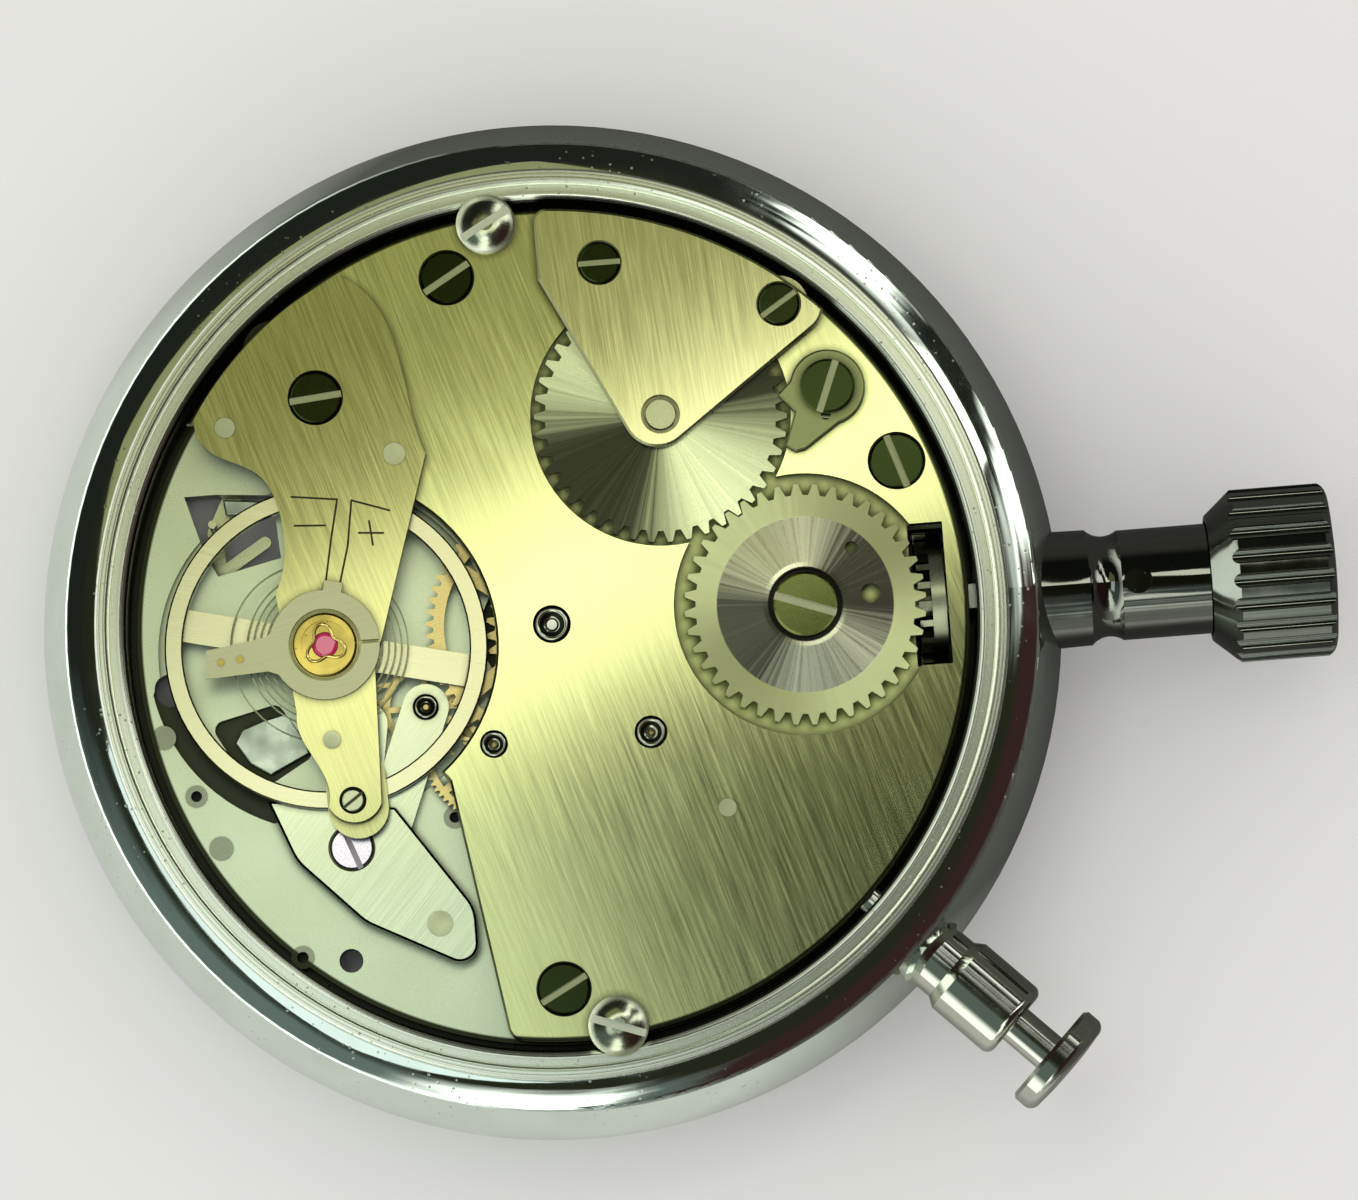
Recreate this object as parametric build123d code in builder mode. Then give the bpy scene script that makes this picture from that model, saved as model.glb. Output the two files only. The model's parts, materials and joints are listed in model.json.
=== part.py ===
from build123d import *

import os
from math import atan2, cos, degrees, hypot, pi, radians, sin, tan

os.makedirs("parts", exist_ok=True)

# A mechanical stopwatch lying on its crystal, movement side up, with its push-fit back taken off.
# Millimetres. The origin is the middle of the crystal's outer face, +X points at the crown.

# Driving dimensions: plan
CASE_R = 25.5
CASE_BORE_R = 21.2
MOVEMENT_R = 20.8
SEAT_R = 20.3
NECK_INNER_R = 22.1
NECK_R = 22.7
CASE_FRONT_R = 24.5
SHOULDER_R = 24.2
LIP_R = 20.9
CRYSTAL_R = 21.55
DIAL_R = 20.7

# Driving dimensions: levels above the crystal's outer face
CRYSTAL_IN = 1.6
BEZEL_FACE = 0.35
CASE_FRONT = 3.6
DIAL_FRONT = 3.9
DIAL_BACK = 4.3
PLATE_FRONT = 6.0
PLATE_BACK = 8.0
BRIDGE_FRONT = 10.2
BRIDGE_BACK = 11.4
BARREL_PLATE_FRONT = 11.5
BARREL_PLATE_BACK = 12.3
COCK_FRONT = 11.5
COCK_BACK = 12.4
NECK_TOP = 12.5
NECK_FOOT = 11.6
LEDGE = 11.4
SHOULDER_Z = 11.35
GIRTH_Z = 7.5
SEAT_LIP_Z = 4.4
STEM_Z = 8.0

# Axes of the moving pieces
CENTRE = (0, 0)
BARREL = (6.2, 9.95)
CROWN_WHEEL = (12.65, 0)
THIRD = (4.5, -5.75)
FOURTH = (-3.33, -5.74)
ESCAPE = (-6.6, -3.5)
PALLET = (-9.71, -4.14)
BALANCE = (-11.3, -0.25)
MINUTE = (8.4, 0)
MINUTE_INTERMEDIATE = (4.356, 1.127)
HAMMER_PIVOT = (2, -16)
LEVER_PIVOT = (2, 16)
CLICK_PIVOT = (14.6, 10.7)
PUSHER_ANGLE = -45

# Tooth counts
RATCHET_TEETH = 42
CROWN_WHEEL_TEETH = 40
WINDING_PINION_TEETH = 22
BARREL_TEETH = 70
CENTRE_PINION_TEETH = 26
CENTRE_TEETH = 64
THIRD_PINION_TEETH = 12
THIRD_TEETH = 54
FOURTH_PINION_TEETH = 12
FOURTH_TEETH = 70
ESCAPE_PINION_TEETH = 7
ESCAPE_TEETH = 15
SECONDS_TEETH = 60
RUNNER_PINION_TEETH = 10
INTERMEDIATE_TEETH = 50
INTERMEDIATE_PINION_TEETH = 8
MINUTE_TEETH = 48

# Tooth form
ADDENDUM = 0.8
DEDENDUM = 1.1
TOOTH_SHARE = 0.42
PRESSURE_ANGLE = 20

# Running parts
PIVOT_R = 0.12
JEWEL_HOLE_R = 0.17
ARBOR_R = 0.2
HAMMER_SWING = 7.52
EDGE = 0.12


def save(part, label):
    """Label a finished piece and write it as its own file."""
    part.label = label
    export_step(part, f"parts/{label}.step")


def distance(first, second):
    return hypot(second[0] - first[0], second[1] - first[1])


def heading(first, second):
    return degrees(atan2(second[1] - first[1], second[0] - first[0]))


def polar(radius, angle, centre=(0, 0)):
    return (centre[0] + radius * cos(radians(angle)), centre[1] + radius * sin(radians(angle)))


def module_of(first, first_teeth, second, second_teeth):
    """Module that makes two wheels meet at their centre distance."""
    return 2 * distance(first, second) / (first_teeth + second_teeth)


def meshed_phase(first, first_teeth, first_phase, second, second_teeth):
    """Angle of a tooth of the second wheel that puts it in mesh with the first."""
    line = heading(first, second)
    offset = (first_phase - line) * first_teeth / 360
    return line + 180 + (0.5 - offset) * 360 / second_teeth


def level(z, centre=(0, 0)):
    return Plane((centre[0], centre[1], z))


def toothed_disc(teeth, module, phase=0.0):
    """Outline of a wheel or pinion with straight-flanked teeth about the origin."""
    pitch_r = teeth * module / 2
    points = []
    for tooth in range(teeth):
        middle = phase + 360 * tooth / teeth
        half_angles = []
        for radius in (pitch_r - DEDENDUM * module, pitch_r + ADDENDUM * module):
            flank = degrees((radius - pitch_r) * tan(radians(PRESSURE_ANGLE)) / radius)
            half_angles.append((radius, TOOTH_SHARE * 180 / teeth - flank))
        root, tip = half_angles
        points.append(polar(root[0], middle - root[1]))
        points.append(polar(tip[0], middle - tip[1]))
        points.append(polar(tip[0], middle + tip[1]))
        points.append(polar(root[0], middle + root[1]))
    with BuildSketch() as outline:
        with BuildLine():
            Polyline(*points, close=True)
        make_face()
    return outline.sketch


def spoked_disc(outline, rim_inner_r, hub_r, spokes, spoke_width, turn=0.0):
    """A toothed outline opened out between its rim and its hub, leaving spokes."""
    with BuildSketch() as wheel:
        add(outline)
        Circle(rim_inner_r, mode=Mode.SUBTRACT)
        Circle(hub_r)
        with PolarLocations(0, spokes, turn):
            Rectangle(rim_inner_r + 0.1, spoke_width, align=(Align.MIN, Align.CENTER))
    return wheel.sketch


def heart(max_r, min_r):
    """Outline of a heart cam: its radius grows evenly with the angle from its low point."""
    steps = 6
    upper = [polar(min_r + (max_r - min_r) * step / steps, 180 * step / steps) for step in range(steps + 1)]
    lower = [(x, -y) for x, y in reversed(upper)]
    with BuildSketch() as cam:
        with BuildLine():
            Spline(*upper)
            Spline(*lower)
        make_face()
    return cam.sketch


def spiral_strip(inner_r, outer_r, turns, width, start=0.0):
    """Outline of a flat spiral spring about the origin."""
    steps = round(turns * 12)

    def edge(offset):
        return [
            polar(inner_r + (outer_r - inner_r) * step / steps + offset, start + 30 * step)
            for step in range(steps + 1)
        ]

    with BuildSketch() as strip:
        with BuildLine():
            inside = Spline(*edge(-width / 2))
            outside = Spline(*edge(width / 2))
            Line(inside @ 0, outside @ 0)
            Line(inside @ 1, outside @ 1)
        make_face()
    return strip.sketch


def slotted_screw(centre, top, head_r, head_height, slot_angle, shank_r, shank_length, dome=0.0):
    """A cheese-head or domed screw with its head's top at the given level."""
    crown_r = head_r * 0.25 if dome else head_r - EDGE
    with BuildPart() as screw:
        with BuildSketch(Plane.XZ.offset(-centre[1]).shift_origin((centre[0], centre[1], top))):
            with BuildLine():
                Line((0, -head_height - shank_length), (shank_r, -head_height - shank_length))
                Line((shank_r, -head_height - shank_length), (shank_r, -head_height))
                Line((shank_r, -head_height), (head_r, -head_height))
                Line((head_r, -head_height), (head_r, -dome - EDGE))
                Line((head_r, -dome - EDGE), (head_r - EDGE, -dome))
                if dome:
                    ThreePointArc((head_r - EDGE, -dome), (head_r * 0.6, -dome * 0.3), (crown_r, 0))
                Line((crown_r, 0), (0, 0))
                Line((0, 0), (0, -head_height - shank_length))
            make_face()
        revolve(axis=Axis((centre[0], centre[1], 0), (0, 0, 1)))
        slot_depth = head_height * 0.45
        with BuildSketch(level(top, centre)):
            Rectangle(3 * head_r, head_r * 0.26, rotation=slot_angle)
        extrude(amount=-slot_depth, mode=Mode.SUBTRACT)
    return screw.part


def ring(centre, outer_r, inner_r, low, high):
    """A plain tube, jewel or bush between two levels."""
    with BuildPart() as tube:
        with BuildSketch(level(low, centre)):
            Circle(outer_r)
            Circle(inner_r, mode=Mode.SUBTRACT)
        extrude(amount=high - low)
    return tube.part


# Screws and pins, as (centre, head radius, slot angle)
BRIDGE_SCREWS = (((17.75, 6.8), 1.37, -72), ((-3.9, 17.7), 1.32, 30), ((-0.8, -18.15), 1.3, 28))
BARREL_PLATE_SCREWS = (((3.75, 17.75), 1.05, 0), ((12.5, 15.0), 1.05, 32))
CASE_SCREWS = (((-1.75, 20.2), 1.48, 28), ((1.75, -20.2), 1.5, -20))
COCK_SCREW = ((-10.85, 12.1), 1.3, 5)
TAIL_SCREW = ((-10.5, -8.05), 0.6, 35)
PALLET_SCREW = ((-10.8, -10.25), 1.1, -70)
COCK_PINS = (((-15.45, 10.95), 0.5), ((-7.15, 9.0), 0.55))
PALLET_PIN = ((-6.7, -14.35), 0.62)
BRIDGE_PIN = ((8.0, -9.8), 0.45)
SCREW_SINK = 0.55
PLATE_SCREW_SINK = 0.45
TAIL_SCREW_SINK = 0.3
TAIL_SHANK_R = 0.35
HEAD_GAP = 0.08
HEAD_PROUD = 0.05
SHANK_R = 0.6
FIT_GAP = 0.05
PILLAR_R = 1.6

# Spread of the balance and its spring
RIM_R = 8.05
RIM_INNER_R = 7.15
BALANCE_WELL_R = 8.5
STUD_COIL_R = 4.73
STUD_ANGLE = -90
STUD = polar(STUD_COIL_R, STUD_ANGLE, BALANCE)
STUD_R = 0.42

# Case ------------------------------------------------------------------------------------------

PENDANT_BORE_R = 1.0
PENDANT_SPIGOT_R = 2.3
PENDANT_FLANGE_R = 2.95
PUSHER_SPIGOT_R = 1.5
PUSHER_NECK_R = 1.75
TUBE_FOOT = 21.3
TUBE_SHOULDER = 24.4

pendant_plane = Plane(origin=(0, 0, STEM_Z), x_dir=(0, 1, 0), z_dir=(1, 0, 0))
pusher_direction = (cos(radians(PUSHER_ANGLE)), sin(radians(PUSHER_ANGLE)), 0)
pusher_plane = Plane(
    origin=(0, 0, STEM_Z),
    x_dir=(-pusher_direction[1], pusher_direction[0], 0),
    z_dir=pusher_direction,
)
# Planes that hold a tube's axis as their x, for outlines that are revolved about it
pendant_section = Plane(origin=(0, 0, STEM_Z), x_dir=(1, 0, 0), z_dir=(0, -1, 0))
pusher_section = Plane(
    origin=(0, 0, STEM_Z),
    x_dir=pusher_direction,
    z_dir=(pusher_direction[1], -pusher_direction[0], 0),
)
pendant_axis = Axis((0, 0, STEM_Z), (1, 0, 0))
pusher_axis = Axis((0, 0, STEM_Z), pusher_direction)

NECK_CHAMFER = 0.1
BAND_MIDDLE = (23.5, 11.53)
SHOULDER_FILLET = 0.45

with BuildPart() as case_middle:
    with BuildSketch(Plane.XZ):
        with BuildLine():
            Polyline(
                (CASE_FRONT_R, CASE_FRONT),
                (LIP_R, CASE_FRONT),
                (LIP_R, SEAT_LIP_Z),
                (SEAT_R, SEAT_LIP_Z),
                (SEAT_R, PLATE_FRONT),
                (CASE_BORE_R, PLATE_FRONT),
                (CASE_BORE_R, LEDGE - 0.2),
                (CASE_BORE_R + 0.3, LEDGE - 0.02),
                (CASE_BORE_R + 0.35, LEDGE),
                (NECK_INNER_R, LEDGE),
                (NECK_INNER_R, NECK_TOP - NECK_CHAMFER),
                (NECK_INNER_R + NECK_CHAMFER, NECK_TOP),
                (NECK_R - NECK_CHAMFER, NECK_TOP),
                (NECK_R, NECK_TOP - NECK_CHAMFER),
                (NECK_R, NECK_FOOT),
            )
            ThreePointArc((NECK_R, NECK_FOOT), BAND_MIDDLE, (SHOULDER_R, SHOULDER_Z))
            ThreePointArc((SHOULDER_R, SHOULDER_Z), (CASE_R, GIRTH_Z), (CASE_FRONT_R, CASE_FRONT))
        make_face()
        fillet(vertices().sort_by_distance((SHOULDER_R, SHOULDER_Z))[0], SHOULDER_FILLET)
    revolve(axis=Axis.Z)
    # Holes and counterbores that the pendant's and the pusher's tubes are pressed into
    for tube_plane, spigot_r, flange_r in (
        (pendant_plane, PENDANT_SPIGOT_R, PENDANT_FLANGE_R),
        (pusher_plane, PUSHER_SPIGOT_R, PUSHER_NECK_R),
    ):
        with BuildSketch(tube_plane.offset(SEAT_R - 1)):
            Circle(spigot_r)
        extrude(amount=CASE_R - SEAT_R + 2, mode=Mode.SUBTRACT)
        with BuildSketch(tube_plane.offset(TUBE_SHOULDER)):
            Circle(flange_r)
        extrude(amount=CASE_R - TUBE_SHOULDER + 1, mode=Mode.SUBTRACT)
save(case_middle.part, "case_middle")

BEZEL_LIP_R = 20.6
BEZEL_RIM_R = 22.3
CRYSTAL_GAP = 0.05

with BuildPart() as bezel:
    with BuildSketch(Plane.XZ):
        with BuildLine():
            Polyline(
                (CASE_FRONT_R, CASE_FRONT),
                (BEZEL_LIP_R, CASE_FRONT),
                (BEZEL_LIP_R, CRYSTAL_IN),
                (CRYSTAL_R + CRYSTAL_GAP, CRYSTAL_IN),
                (CRYSTAL_R + CRYSTAL_GAP, BEZEL_FACE),
                (BEZEL_RIM_R, BEZEL_FACE),
            )
            ThreePointArc((BEZEL_RIM_R, BEZEL_FACE), (24.0, 1.6), (CASE_FRONT_R, CASE_FRONT))
        make_face()
    revolve(axis=Axis.Z)
save(bezel.part, "bezel")

with BuildPart() as crystal:
    with BuildSketch():
        Circle(CRYSTAL_R)
    extrude(amount=CRYSTAL_IN)
    chamfer(crystal.faces().sort_by(Axis.Z)[0].edges(), 0.4)
save(crystal.part, "crystal")

DIAL_FEET = (((-14.5, -12.5), 0.5), ((7.5, -17.0), 0.5))
DIAL_FOOT_TOP = 7.2
SWEEP_HOLE_R = 0.95
MINUTE_HOLE_R = 0.6

with BuildPart() as dial:
    with BuildSketch(level(DIAL_FRONT)):
        Circle(DIAL_R)
        Circle(SWEEP_HOLE_R, mode=Mode.SUBTRACT)
        with Locations(MINUTE):
            Circle(MINUTE_HOLE_R, mode=Mode.SUBTRACT)
    extrude(amount=DIAL_BACK - DIAL_FRONT)
    for foot, foot_r in DIAL_FEET:
        with BuildSketch(level(DIAL_BACK, foot)):
            Circle(foot_r)
        extrude(amount=DIAL_FOOT_TOP - DIAL_BACK)
save(dial.part, "dial")

PENDANT_END = 33.2
BOW_HOLE_X = 29.3
BOW_HOLE_R = 0.7
BOW_HOLE_FLOOR = 2.05
SPRING_BORE_R = 1.85

with BuildPart() as pendant_tube:
    with BuildSketch(pendant_section):
        with BuildLine():
            Polyline(
                (PENDANT_END, SPRING_BORE_R),
                (25.4, SPRING_BORE_R),
                (25.4, PENDANT_BORE_R),
                (TUBE_FOOT, PENDANT_BORE_R),
                (TUBE_FOOT, PENDANT_SPIGOT_R),
                (TUBE_SHOULDER, PENDANT_SPIGOT_R),
                (TUBE_SHOULDER, PENDANT_FLANGE_R),
                (26.9, 2.9),
            )
            ThreePointArc((26.9, 2.9), (27.7, 2.52), (28.5, 2.76))
            Line((28.5, 2.76), (32.9, 2.76))
            Line((32.9, 2.76), (PENDANT_END, 2.5))
            Line((PENDANT_END, 2.5), (PENDANT_END, SPRING_BORE_R))
        make_face()
    revolve(axis=pendant_axis)
    for side in (1, -1):
        with BuildSketch(Plane((BOW_HOLE_X, 0, STEM_Z), z_dir=(0, 0, side)).offset(BOW_HOLE_FLOOR)):
            Circle(BOW_HOLE_R)
        extrude(amount=1, mode=Mode.SUBTRACT)
save(pendant_tube.part, "pendant_tube")

PUSHER_TUBE_END = 30.4
PUSHER_STEM_R = 0.98
PUSHER_BORE_R = 1.05
PUSHER_SPRING_BORE_R = 1.6

with BuildPart() as pusher_tube:
    with BuildSketch(pusher_section):
        with BuildLine():
            Polyline(
                (PUSHER_TUBE_END - 0.5, 2.08),
                (26.7, 2.08),
                (26.2, PUSHER_NECK_R),
                (TUBE_SHOULDER, PUSHER_NECK_R),
                (TUBE_SHOULDER, PUSHER_SPIGOT_R),
                (TUBE_FOOT, PUSHER_SPIGOT_R),
                (TUBE_FOOT, PUSHER_BORE_R),
                (25.6, PUSHER_BORE_R),
                (26.2, PUSHER_SPRING_BORE_R),
                (29.6, PUSHER_SPRING_BORE_R),
                (29.6, PUSHER_BORE_R),
                (PUSHER_TUBE_END, PUSHER_BORE_R),
                (PUSHER_TUBE_END, 1.6),
            )
            ThreePointArc(
                (PUSHER_TUBE_END, 1.6),
                (PUSHER_TUBE_END - 0.14, 1.94),
                (PUSHER_TUBE_END - 0.5, 2.08),
            )
        make_face()
    revolve(axis=pusher_axis)
save(pusher_tube.part, "pusher_tube")

# Plates and bridges ----------------------------------------------------------------------------

FLOOR_Z = 6.6
CRESCENT_R = 9.0
HALF_SINK_Z = 7.0
BALANCE_SINK = 0.3
BARREL_SINK_R = 9.2
CENTRE_SINK_R = 3.6
CENTRE_HOLE_R = 0.68
BARREL_PIVOT_HOLE_R = 0.75
JEWEL_HOLE_DEPTH = 1.0
POST_FOOT = 5.4
PINION_SLOT_X = (17.7, 21.0)
PLATE_JEWELS = (THIRD, ESCAPE, PALLET, BALANCE)
THROUGH_HOLES = (((-11.3, -15.75), 0.6), ((-19.3, -1.5), 0.8))
BUSHES = (((-18.4, -6.95), 0.55), ((-13.7, -15.4), 0.58), ((-5.6, -9.0), 0.55))
PLUGS = (((-17.35, -9.65), 0.6), ((-19.8, -3.9), 0.6))
HAMMER_POST_R = 0.5
FOURTH_ARBOR_R = 0.3

with BuildPart() as main_plate:
    with BuildSketch(level(PLATE_FRONT)):
        Circle(MOVEMENT_R)
    extrude(amount=PLATE_BACK - PLATE_FRONT)
    # Sinks for the barrel and the centre pinion
    with BuildSketch(level(FLOOR_Z)):
        with Locations(BARREL):
            Circle(BARREL_SINK_R)
        Circle(CENTRE_SINK_R)
    extrude(amount=PLATE_BACK - FLOOR_Z, mode=Mode.SUBTRACT)
    # Shallow well under the balance
    with BuildSketch(level(PLATE_BACK - BALANCE_SINK, BALANCE)):
        Circle(BALANCE_WELL_R)
    extrude(amount=BALANCE_SINK, mode=Mode.SUBTRACT)
    # Window over the start and stop lever, with the slot that its brake pin swings in
    with BuildSketch(level(PLATE_FRONT)):
        with BuildLine():
            Polyline(
                (-17.9, 8.1), (-16.3, 8.1), (-13.5, 7.85),
                (-13.3, 4.7), (-16.5, 4.0), (-17.1, 5.2),
                close=True,
            )
        make_face()
    extrude(amount=PLATE_BACK - PLATE_FRONT, mode=Mode.SUBTRACT)
    # Kidney sink beside the pallets
    with BuildSketch(level(HALF_SINK_Z)):
        with BuildLine():
            Polyline((-17.5, -3.4), (-14.0, -2.6), (-12.3, -5.3), (-14.6, -6.6), (-16.4, -5.4), close=True)
        make_face()
        fillet(vertices(), 0.5)
    extrude(amount=PLATE_BACK - HALF_SINK_Z, mode=Mode.SUBTRACT)
    # Crescent sink outside the balance's rim
    with BuildSketch(level(HALF_SINK_Z, BALANCE)):
        Circle(CRESCENT_R)
        Circle(BALANCE_WELL_R - 0.6, mode=Mode.SUBTRACT)
        with Locations((-7.0, -5.6)):
            Rectangle(9.0, 6.4, rotation=-52, mode=Mode.INTERSECT)
        fillet(vertices(), 0.25)
    extrude(amount=PLATE_BACK - HALF_SINK_Z, mode=Mode.SUBTRACT)
    # Slots for the winding pinion, the winding stem and the start and stop lever's tab
    with BuildSketch(level(PLATE_FRONT)):
        with Locations(((PINION_SLOT_X[0] + PINION_SLOT_X[1]) / 2, 0)):
            Rectangle(PINION_SLOT_X[1] - PINION_SLOT_X[0], 7.2)
        with Locations((16.0, -0.3)):
            Rectangle(2.6, 2.8)
    extrude(amount=PLATE_BACK - PLATE_FRONT, mode=Mode.SUBTRACT)
    with BuildSketch(level(HALF_SINK_Z)):
        with Locations((17.5, 0)):
            Rectangle(3.0, 2.2)
    extrude(amount=PLATE_BACK - HALF_SINK_Z, mode=Mode.SUBTRACT)
    # Notch for the reset pusher's stem and the hammer's post
    with BuildSketch(Plane((0, 0, PLATE_FRONT), x_dir=pusher_direction, z_dir=(0, 0, 1))):
        with Locations((19.0, 0.1)):
            Rectangle(4.4, 3.2)
    extrude(amount=PLATE_BACK - PLATE_FRONT, mode=Mode.SUBTRACT)
    # Pivot holes
    with BuildSketch(level(PLATE_FRONT)):
        with Locations(CENTRE):
            Circle(CENTRE_HOLE_R)
        with Locations(BARREL):
            Circle(BARREL_PIVOT_HOLE_R)
        with Locations(FOURTH):
            Circle(FOURTH_ARBOR_R + FIT_GAP)
        with Locations(MINUTE, MINUTE_INTERMEDIATE):
            Circle(ARBOR_R + FIT_GAP)
        for spot, spot_r in THROUGH_HOLES + BUSHES + PLUGS:
            with Locations(spot):
                Circle(spot_r)
    extrude(amount=PLATE_BACK - PLATE_FRONT, mode=Mode.SUBTRACT)
    with BuildSketch(level(PLATE_BACK - JEWEL_HOLE_DEPTH)):
        with Locations(*PLATE_JEWELS):
            Circle(PIVOT_R + FIT_GAP)
    extrude(amount=JEWEL_HOLE_DEPTH, mode=Mode.SUBTRACT)
    with BuildSketch(level(PLATE_FRONT)):
        for foot, foot_r in DIAL_FEET:
            with Locations(foot):
                Circle(foot_r)
    extrude(amount=DIAL_FOOT_TOP - PLATE_FRONT, mode=Mode.SUBTRACT)
    # Posts that the hammer and the start and stop lever turn on
    with BuildSketch(level(POST_FOOT)):
        with Locations(HAMMER_PIVOT, LEVER_PIVOT):
            Circle(HAMMER_POST_R)
    extrude(amount=PLATE_FRONT - POST_FOOT)
save(main_plate.part, "main_plate")

RECESS_Z = 10.7
RATCHET_RECESS_R = 6.5
CROWN_WHEEL_RECESS_R = 6.55
JEWEL_SHELF_Z = 10.8
TAPPED_HOLE_R = 0.5
CROWN_WHEEL_POST_R = 0.7
WINDOW_WIDTH = 7.1
PLATE_FOOT_R = 1.5
ARBOR_END_R = 0.73
ARBOR_TOP = 12.2
CENTRE_JEWEL_R = 0.95
THIRD_JEWEL_R = 0.82
FOURTH_JEWEL_R = 0.7
PINION_WINDOW = (18.0, 19.75)
ARBOR_HOLE_R = 0.98
CLICK_SINK_Z = 11.0
CLICK_SINK_R = 1.75

with BuildPart() as train_bridge:
    with BuildSketch(level(BRIDGE_FRONT)):
        Circle(MOVEMENT_R)
        with BuildLine():
            Polyline(
                (-22, 11.4),
                (-17.15, 11.4),
                (-13.5, 8.1),
                BALANCE,
                (-5.65, -7.4),
                (-3.45, -21.5),
                (-22, -21.5),
                close=True,
            )
        make_face(mode=Mode.SUBTRACT)
        with Locations(BALANCE):
            Circle(BALANCE_WELL_R, mode=Mode.SUBTRACT)
        lower_corner = vertices().sort_by_distance((-3.6, -20.5))[0]
        fillet(lower_corner, 0.9)
    extrude(amount=BRIDGE_BACK - BRIDGE_FRONT)
    chamfer(train_bridge.faces().sort_by(Axis.Z)[-1].outer_wire().edges(), EDGE)
    # Pillars down to the main plate
    with BuildSketch(level(PLATE_BACK)):
        for centre, _, _ in BRIDGE_SCREWS:
            with Locations(centre):
                Circle(PILLAR_R)
    extrude(amount=BRIDGE_FRONT - PLATE_BACK)
    # Sinks for the ratchet wheel and the crown wheel
    with BuildSketch(level(RECESS_Z)):
        with Locations(BARREL):
            Circle(RATCHET_RECESS_R)
        with Locations(CROWN_WHEEL):
            Circle(CROWN_WHEEL_RECESS_R)
    extrude(amount=BRIDGE_BACK - RECESS_Z, mode=Mode.SUBTRACT)
    # Window where the winding pinion meets the crown wheel
    with BuildSketch(level(BRIDGE_FRONT)):
        with Locations(((PINION_WINDOW[0] + PINION_WINDOW[1]) / 2, 0.05)):
            Rectangle(PINION_WINDOW[1] - PINION_WINDOW[0], WINDOW_WIDTH)
    extrude(amount=BRIDGE_BACK - BRIDGE_FRONT, mode=Mode.SUBTRACT)
    # Holes for the arbors, jewels and screws
    with BuildSketch(level(BRIDGE_FRONT)):
        Circle(CENTRE_HOLE_R)
        with Locations(BARREL):
            Circle(ARBOR_HOLE_R)
        with Locations(CROWN_WHEEL):
            Circle(CROWN_WHEEL_POST_R)
        with Locations(THIRD):
            Circle(THIRD_JEWEL_R)
        with Locations(FOURTH):
            Circle(FOURTH_JEWEL_R)
        with Locations(BRIDGE_PIN[0]):
            Circle(BRIDGE_PIN[1])
    extrude(amount=BRIDGE_BACK - BRIDGE_FRONT, mode=Mode.SUBTRACT)
    with BuildSketch(level(JEWEL_SHELF_Z)):
        Circle(CENTRE_JEWEL_R)
    extrude(amount=BRIDGE_BACK - JEWEL_SHELF_Z, mode=Mode.SUBTRACT)
    with BuildSketch(level(PLATE_BACK)):
        for centre, _, _ in BRIDGE_SCREWS:
            with Locations(centre):
                Circle(SHANK_R)
    extrude(amount=BRIDGE_BACK - PLATE_BACK, mode=Mode.SUBTRACT)
    with BuildSketch(level(BRIDGE_BACK - SCREW_SINK)):
        for centre, head_r, _ in BRIDGE_SCREWS:
            with Locations(centre):
                Circle(head_r + HEAD_GAP)
    extrude(amount=SCREW_SINK, mode=Mode.SUBTRACT)
    with BuildSketch(level(BRIDGE_FRONT + 0.4)):
        for centre, _, _ in BARREL_PLATE_SCREWS + CASE_SCREWS:
            with Locations(centre):
                Circle(TAPPED_HOLE_R)
        with Locations(CLICK_PIVOT, COCK_SCREW[0]):
            Circle(SHANK_R)
    extrude(amount=BRIDGE_BACK - BRIDGE_FRONT - 0.4, mode=Mode.SUBTRACT)
    # Sink that hides the click spring under the click
    with BuildSketch(level(CLICK_SINK_Z, CLICK_PIVOT)):
        Circle(CLICK_SINK_R)
    extrude(amount=BRIDGE_BACK - CLICK_SINK_Z, mode=Mode.SUBTRACT)
save(train_bridge.part, "train_bridge")

with BuildPart() as barrel_plate:
    with BuildSketch(level(BARREL_PLATE_FRONT)):
        with BuildLine():
            Polyline((0.65, 22), (0.65, 17.15), (5.39, 7.46), (14.75, 14.17), (14.3, 22), close=True)
        make_face()
        fillet(vertices().sort_by_distance((5.39, 7.46))[0], 1.75)
        fillet(vertices().sort_by_distance((14.75, 14.17))[0], 1.5)
        Circle(DIAL_R, mode=Mode.INTERSECT)
        fillet(vertices().sort_by_distance((0.65, DIAL_R))[0], 0.6)
    extrude(amount=BARREL_PLATE_BACK - BARREL_PLATE_FRONT)
    chamfer(barrel_plate.faces().sort_by(Axis.Z)[-1].outer_wire().edges(), EDGE)
    # Feet that stand on the train bridge
    with BuildSketch(level(BRIDGE_BACK)):
        for centre, _, _ in BARREL_PLATE_SCREWS:
            with Locations(centre):
                Circle(PLATE_FOOT_R)
    extrude(amount=BARREL_PLATE_FRONT - BRIDGE_BACK)
    with BuildSketch(level(BRIDGE_BACK)):
        with Locations(BARREL):
            Circle(ARBOR_END_R + FIT_GAP)
        for centre, _, _ in BARREL_PLATE_SCREWS:
            with Locations(centre):
                Circle(TAPPED_HOLE_R)
    extrude(amount=BARREL_PLATE_BACK - BRIDGE_BACK, mode=Mode.SUBTRACT)
    with BuildSketch(level(BARREL_PLATE_BACK - PLATE_SCREW_SINK)):
        for centre, head_r, _ in BARREL_PLATE_SCREWS:
            with Locations(centre):
                Circle(head_r + HEAD_GAP)
        with Locations(BARREL):
            Circle(ARBOR_HOLE_R)
    extrude(amount=PLATE_SCREW_SINK, mode=Mode.SUBTRACT)
save(barrel_plate.part, "barrel_plate")

PALLET_BRIDGE_BACK = 9.9
PALLET_ARM = (9.37, 9.67)
ARM_END_R = 1.15
ESCAPE_JEWEL_R = 0.65
PALLET_JEWEL_R = 0.55

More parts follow.
